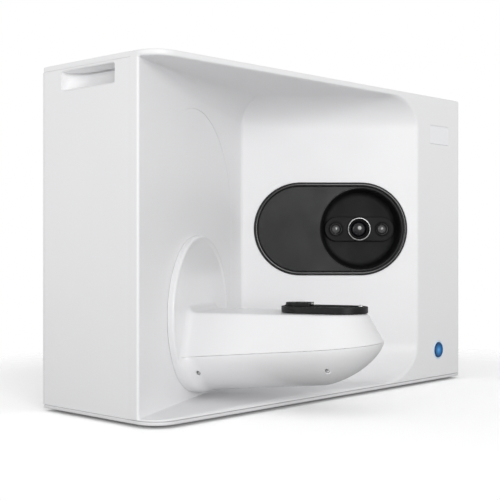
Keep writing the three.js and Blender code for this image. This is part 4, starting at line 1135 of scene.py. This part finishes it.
# soft room light: one brightness for each side of the room, blended by the square of the direction
AMBIENT = {"-x": 0.60, "+x": 0.60, "-y": 0.61, "+y": 0.60, "-z": 0.93, "+z": 0.55}
wtc = wnt.nodes.new("ShaderNodeTexCoord")
wsp = wnt.nodes.new("ShaderNodeSeparateXYZ")
wnt.links.new(wtc.outputs["Generated"], wsp.inputs[0])
wsum, amb_nodes = None, {}
for side, val in AMBIENT.items():
    sg = wnt.nodes.new("ShaderNodeMath"); sg.operation = "MULTIPLY"
    sg.inputs[1].default_value = -1.0 if side[0] == "-" else 1.0
    wnt.links.new(wsp.outputs[side[1].upper()], sg.inputs[0])
    mx = wnt.nodes.new("ShaderNodeMath"); mx.operation = "MAXIMUM"
    mx.inputs[1].default_value = 0.0
    wnt.links.new(sg.outputs[0], mx.inputs[0])
    sq = wnt.nodes.new("ShaderNodeMath"); sq.operation = "MULTIPLY"
    wnt.links.new(mx.outputs[0], sq.inputs[0])
    wnt.links.new(mx.outputs[0], sq.inputs[1])
    ml = wnt.nodes.new("ShaderNodeMath"); ml.operation = "MULTIPLY_ADD"
    ml.inputs[1].default_value = val
    ml.inputs[2].default_value = 0.0
    wnt.links.new(sq.outputs[0], ml.inputs[0])
    if wsum is not None:
        wnt.links.new(wsum, ml.inputs[2])
    wsum = ml.outputs[0]
    amb_nodes[side] = ml
wnt.links.new(wsum, bg.inputs["Strength"])
bg_cam = wnt.nodes.new("ShaderNodeBackground")
bg_cam.inputs["Color"].default_value = (1, 1, 1, 1)
bg_cam.inputs["Strength"].default_value = 1.0
lp = wnt.nodes.new("ShaderNodeLightPath")
wmix = wnt.nodes.new("ShaderNodeMixShader")
wnt.links.new(lp.outputs["Is Camera Ray"], wmix.inputs["Fac"])
wnt.links.new(bg.outputs["Background"], wmix.inputs[1])
wnt.links.new(bg_cam.outputs["Background"], wmix.inputs[2])
wnt.links.new(wmix.outputs["Shader"], wnt.nodes["World Output"].inputs["Surface"])

fm = bpy.data.meshes.new("floor")
fm.from_pydata([(-6, -6, 0), (6, -6, 0), (6, 6, 0), (-6, 6, 0)], [], [(0, 1, 2, 3)])
floor = bpy.data.objects.new("floor", fm)
sc.collection.objects.link(floor)
fmat, fnt, fb = new_mat("floor")
fb.inputs["Base Color"].default_value = (0.5, 0.5, 0.5, 1)
fb.inputs["Roughness"].default_value = 0.9
fb.inputs["Specular IOR Level"].default_value = 0.1
# the sweep is overexposed for the camera only, as on a cut-out product photo, and lights the part less
fd = fnt.nodes.new("ShaderNodeBsdfDiffuse")
fd.inputs["Color"].default_value = (1.4, 1.4, 1.4, 1)
flp = fnt.nodes.new("ShaderNodeLightPath")
fex = fnt.nodes.new("ShaderNodeMixShader")
fnt.links.new(flp.outputs["Is Camera Ray"], fex.inputs["Fac"])
fnt.links.new(fb.outputs["BSDF"], fex.inputs[1])
fnt.links.new(fd.outputs["BSDF"], fex.inputs[2])
fm.materials.append(fmat)
ftc = fnt.nodes.new("ShaderNodeTexCoord")
fln = fnt.nodes.new("ShaderNodeVectorMath"); fln.operation = "LENGTH"
fmr = fnt.nodes.new("ShaderNodeMapRange")
fmr.interpolation_type = "SMOOTHSTEP"
fmr.inputs["From Min"].default_value = 0.36
fmr.inputs["From Max"].default_value = 0.62
ftr = fnt.nodes.new("ShaderNodeBsdfTransparent")
fmx = fnt.nodes.new("ShaderNodeMixShader")
fnt.links.new(ftc.outputs["Object"], fln.inputs[0])
fnt.links.new(fln.outputs["Value"], fmr.inputs["Value"])
fnt.links.new(fmr.outputs["Result"], fmx.inputs["Fac"])
fnt.links.new(fex.outputs["Shader"], fmx.inputs[1])
fnt.links.new(ftr.outputs["BSDF"], fmx.inputs[2])
fnt.links.new(fmx.outputs["Shader"], fnt.nodes["Material Output"].inputs["Surface"])


def area(name, loc, target, size, power, color=(1, 1, 1)):
    d = bpy.data.lights.new(name, "AREA")
    d.shape = "ELLIPSE"
    d.size, d.size_y = size
    d.energy = power
    d.color = color
    o = bpy.data.objects.new(name, d)
    sc.collection.objects.link(o)
    o.visible_camera = False
    o.location = loc
    v = Vector(target) - Vector(loc)
    o.rotation_euler = v.to_track_quat("-Z", "Y").to_euler()
    return o


LIGHTS = (("key", -120, 10, 3.0, 1.3, 36.0), ("side", 180, 10, 3.0, 1.3, 11.6))
for nm, az, el, dist, size, power in LIGHTS:
    a_, e_ = math.radians(az), math.radians(el)
    area(nm, (dist * math.cos(e_) * math.cos(a_), dist * math.cos(e_) * math.sin(a_), dist * math.sin(e_) + 0.15), (0, 0, 0.15), (size, size), power)
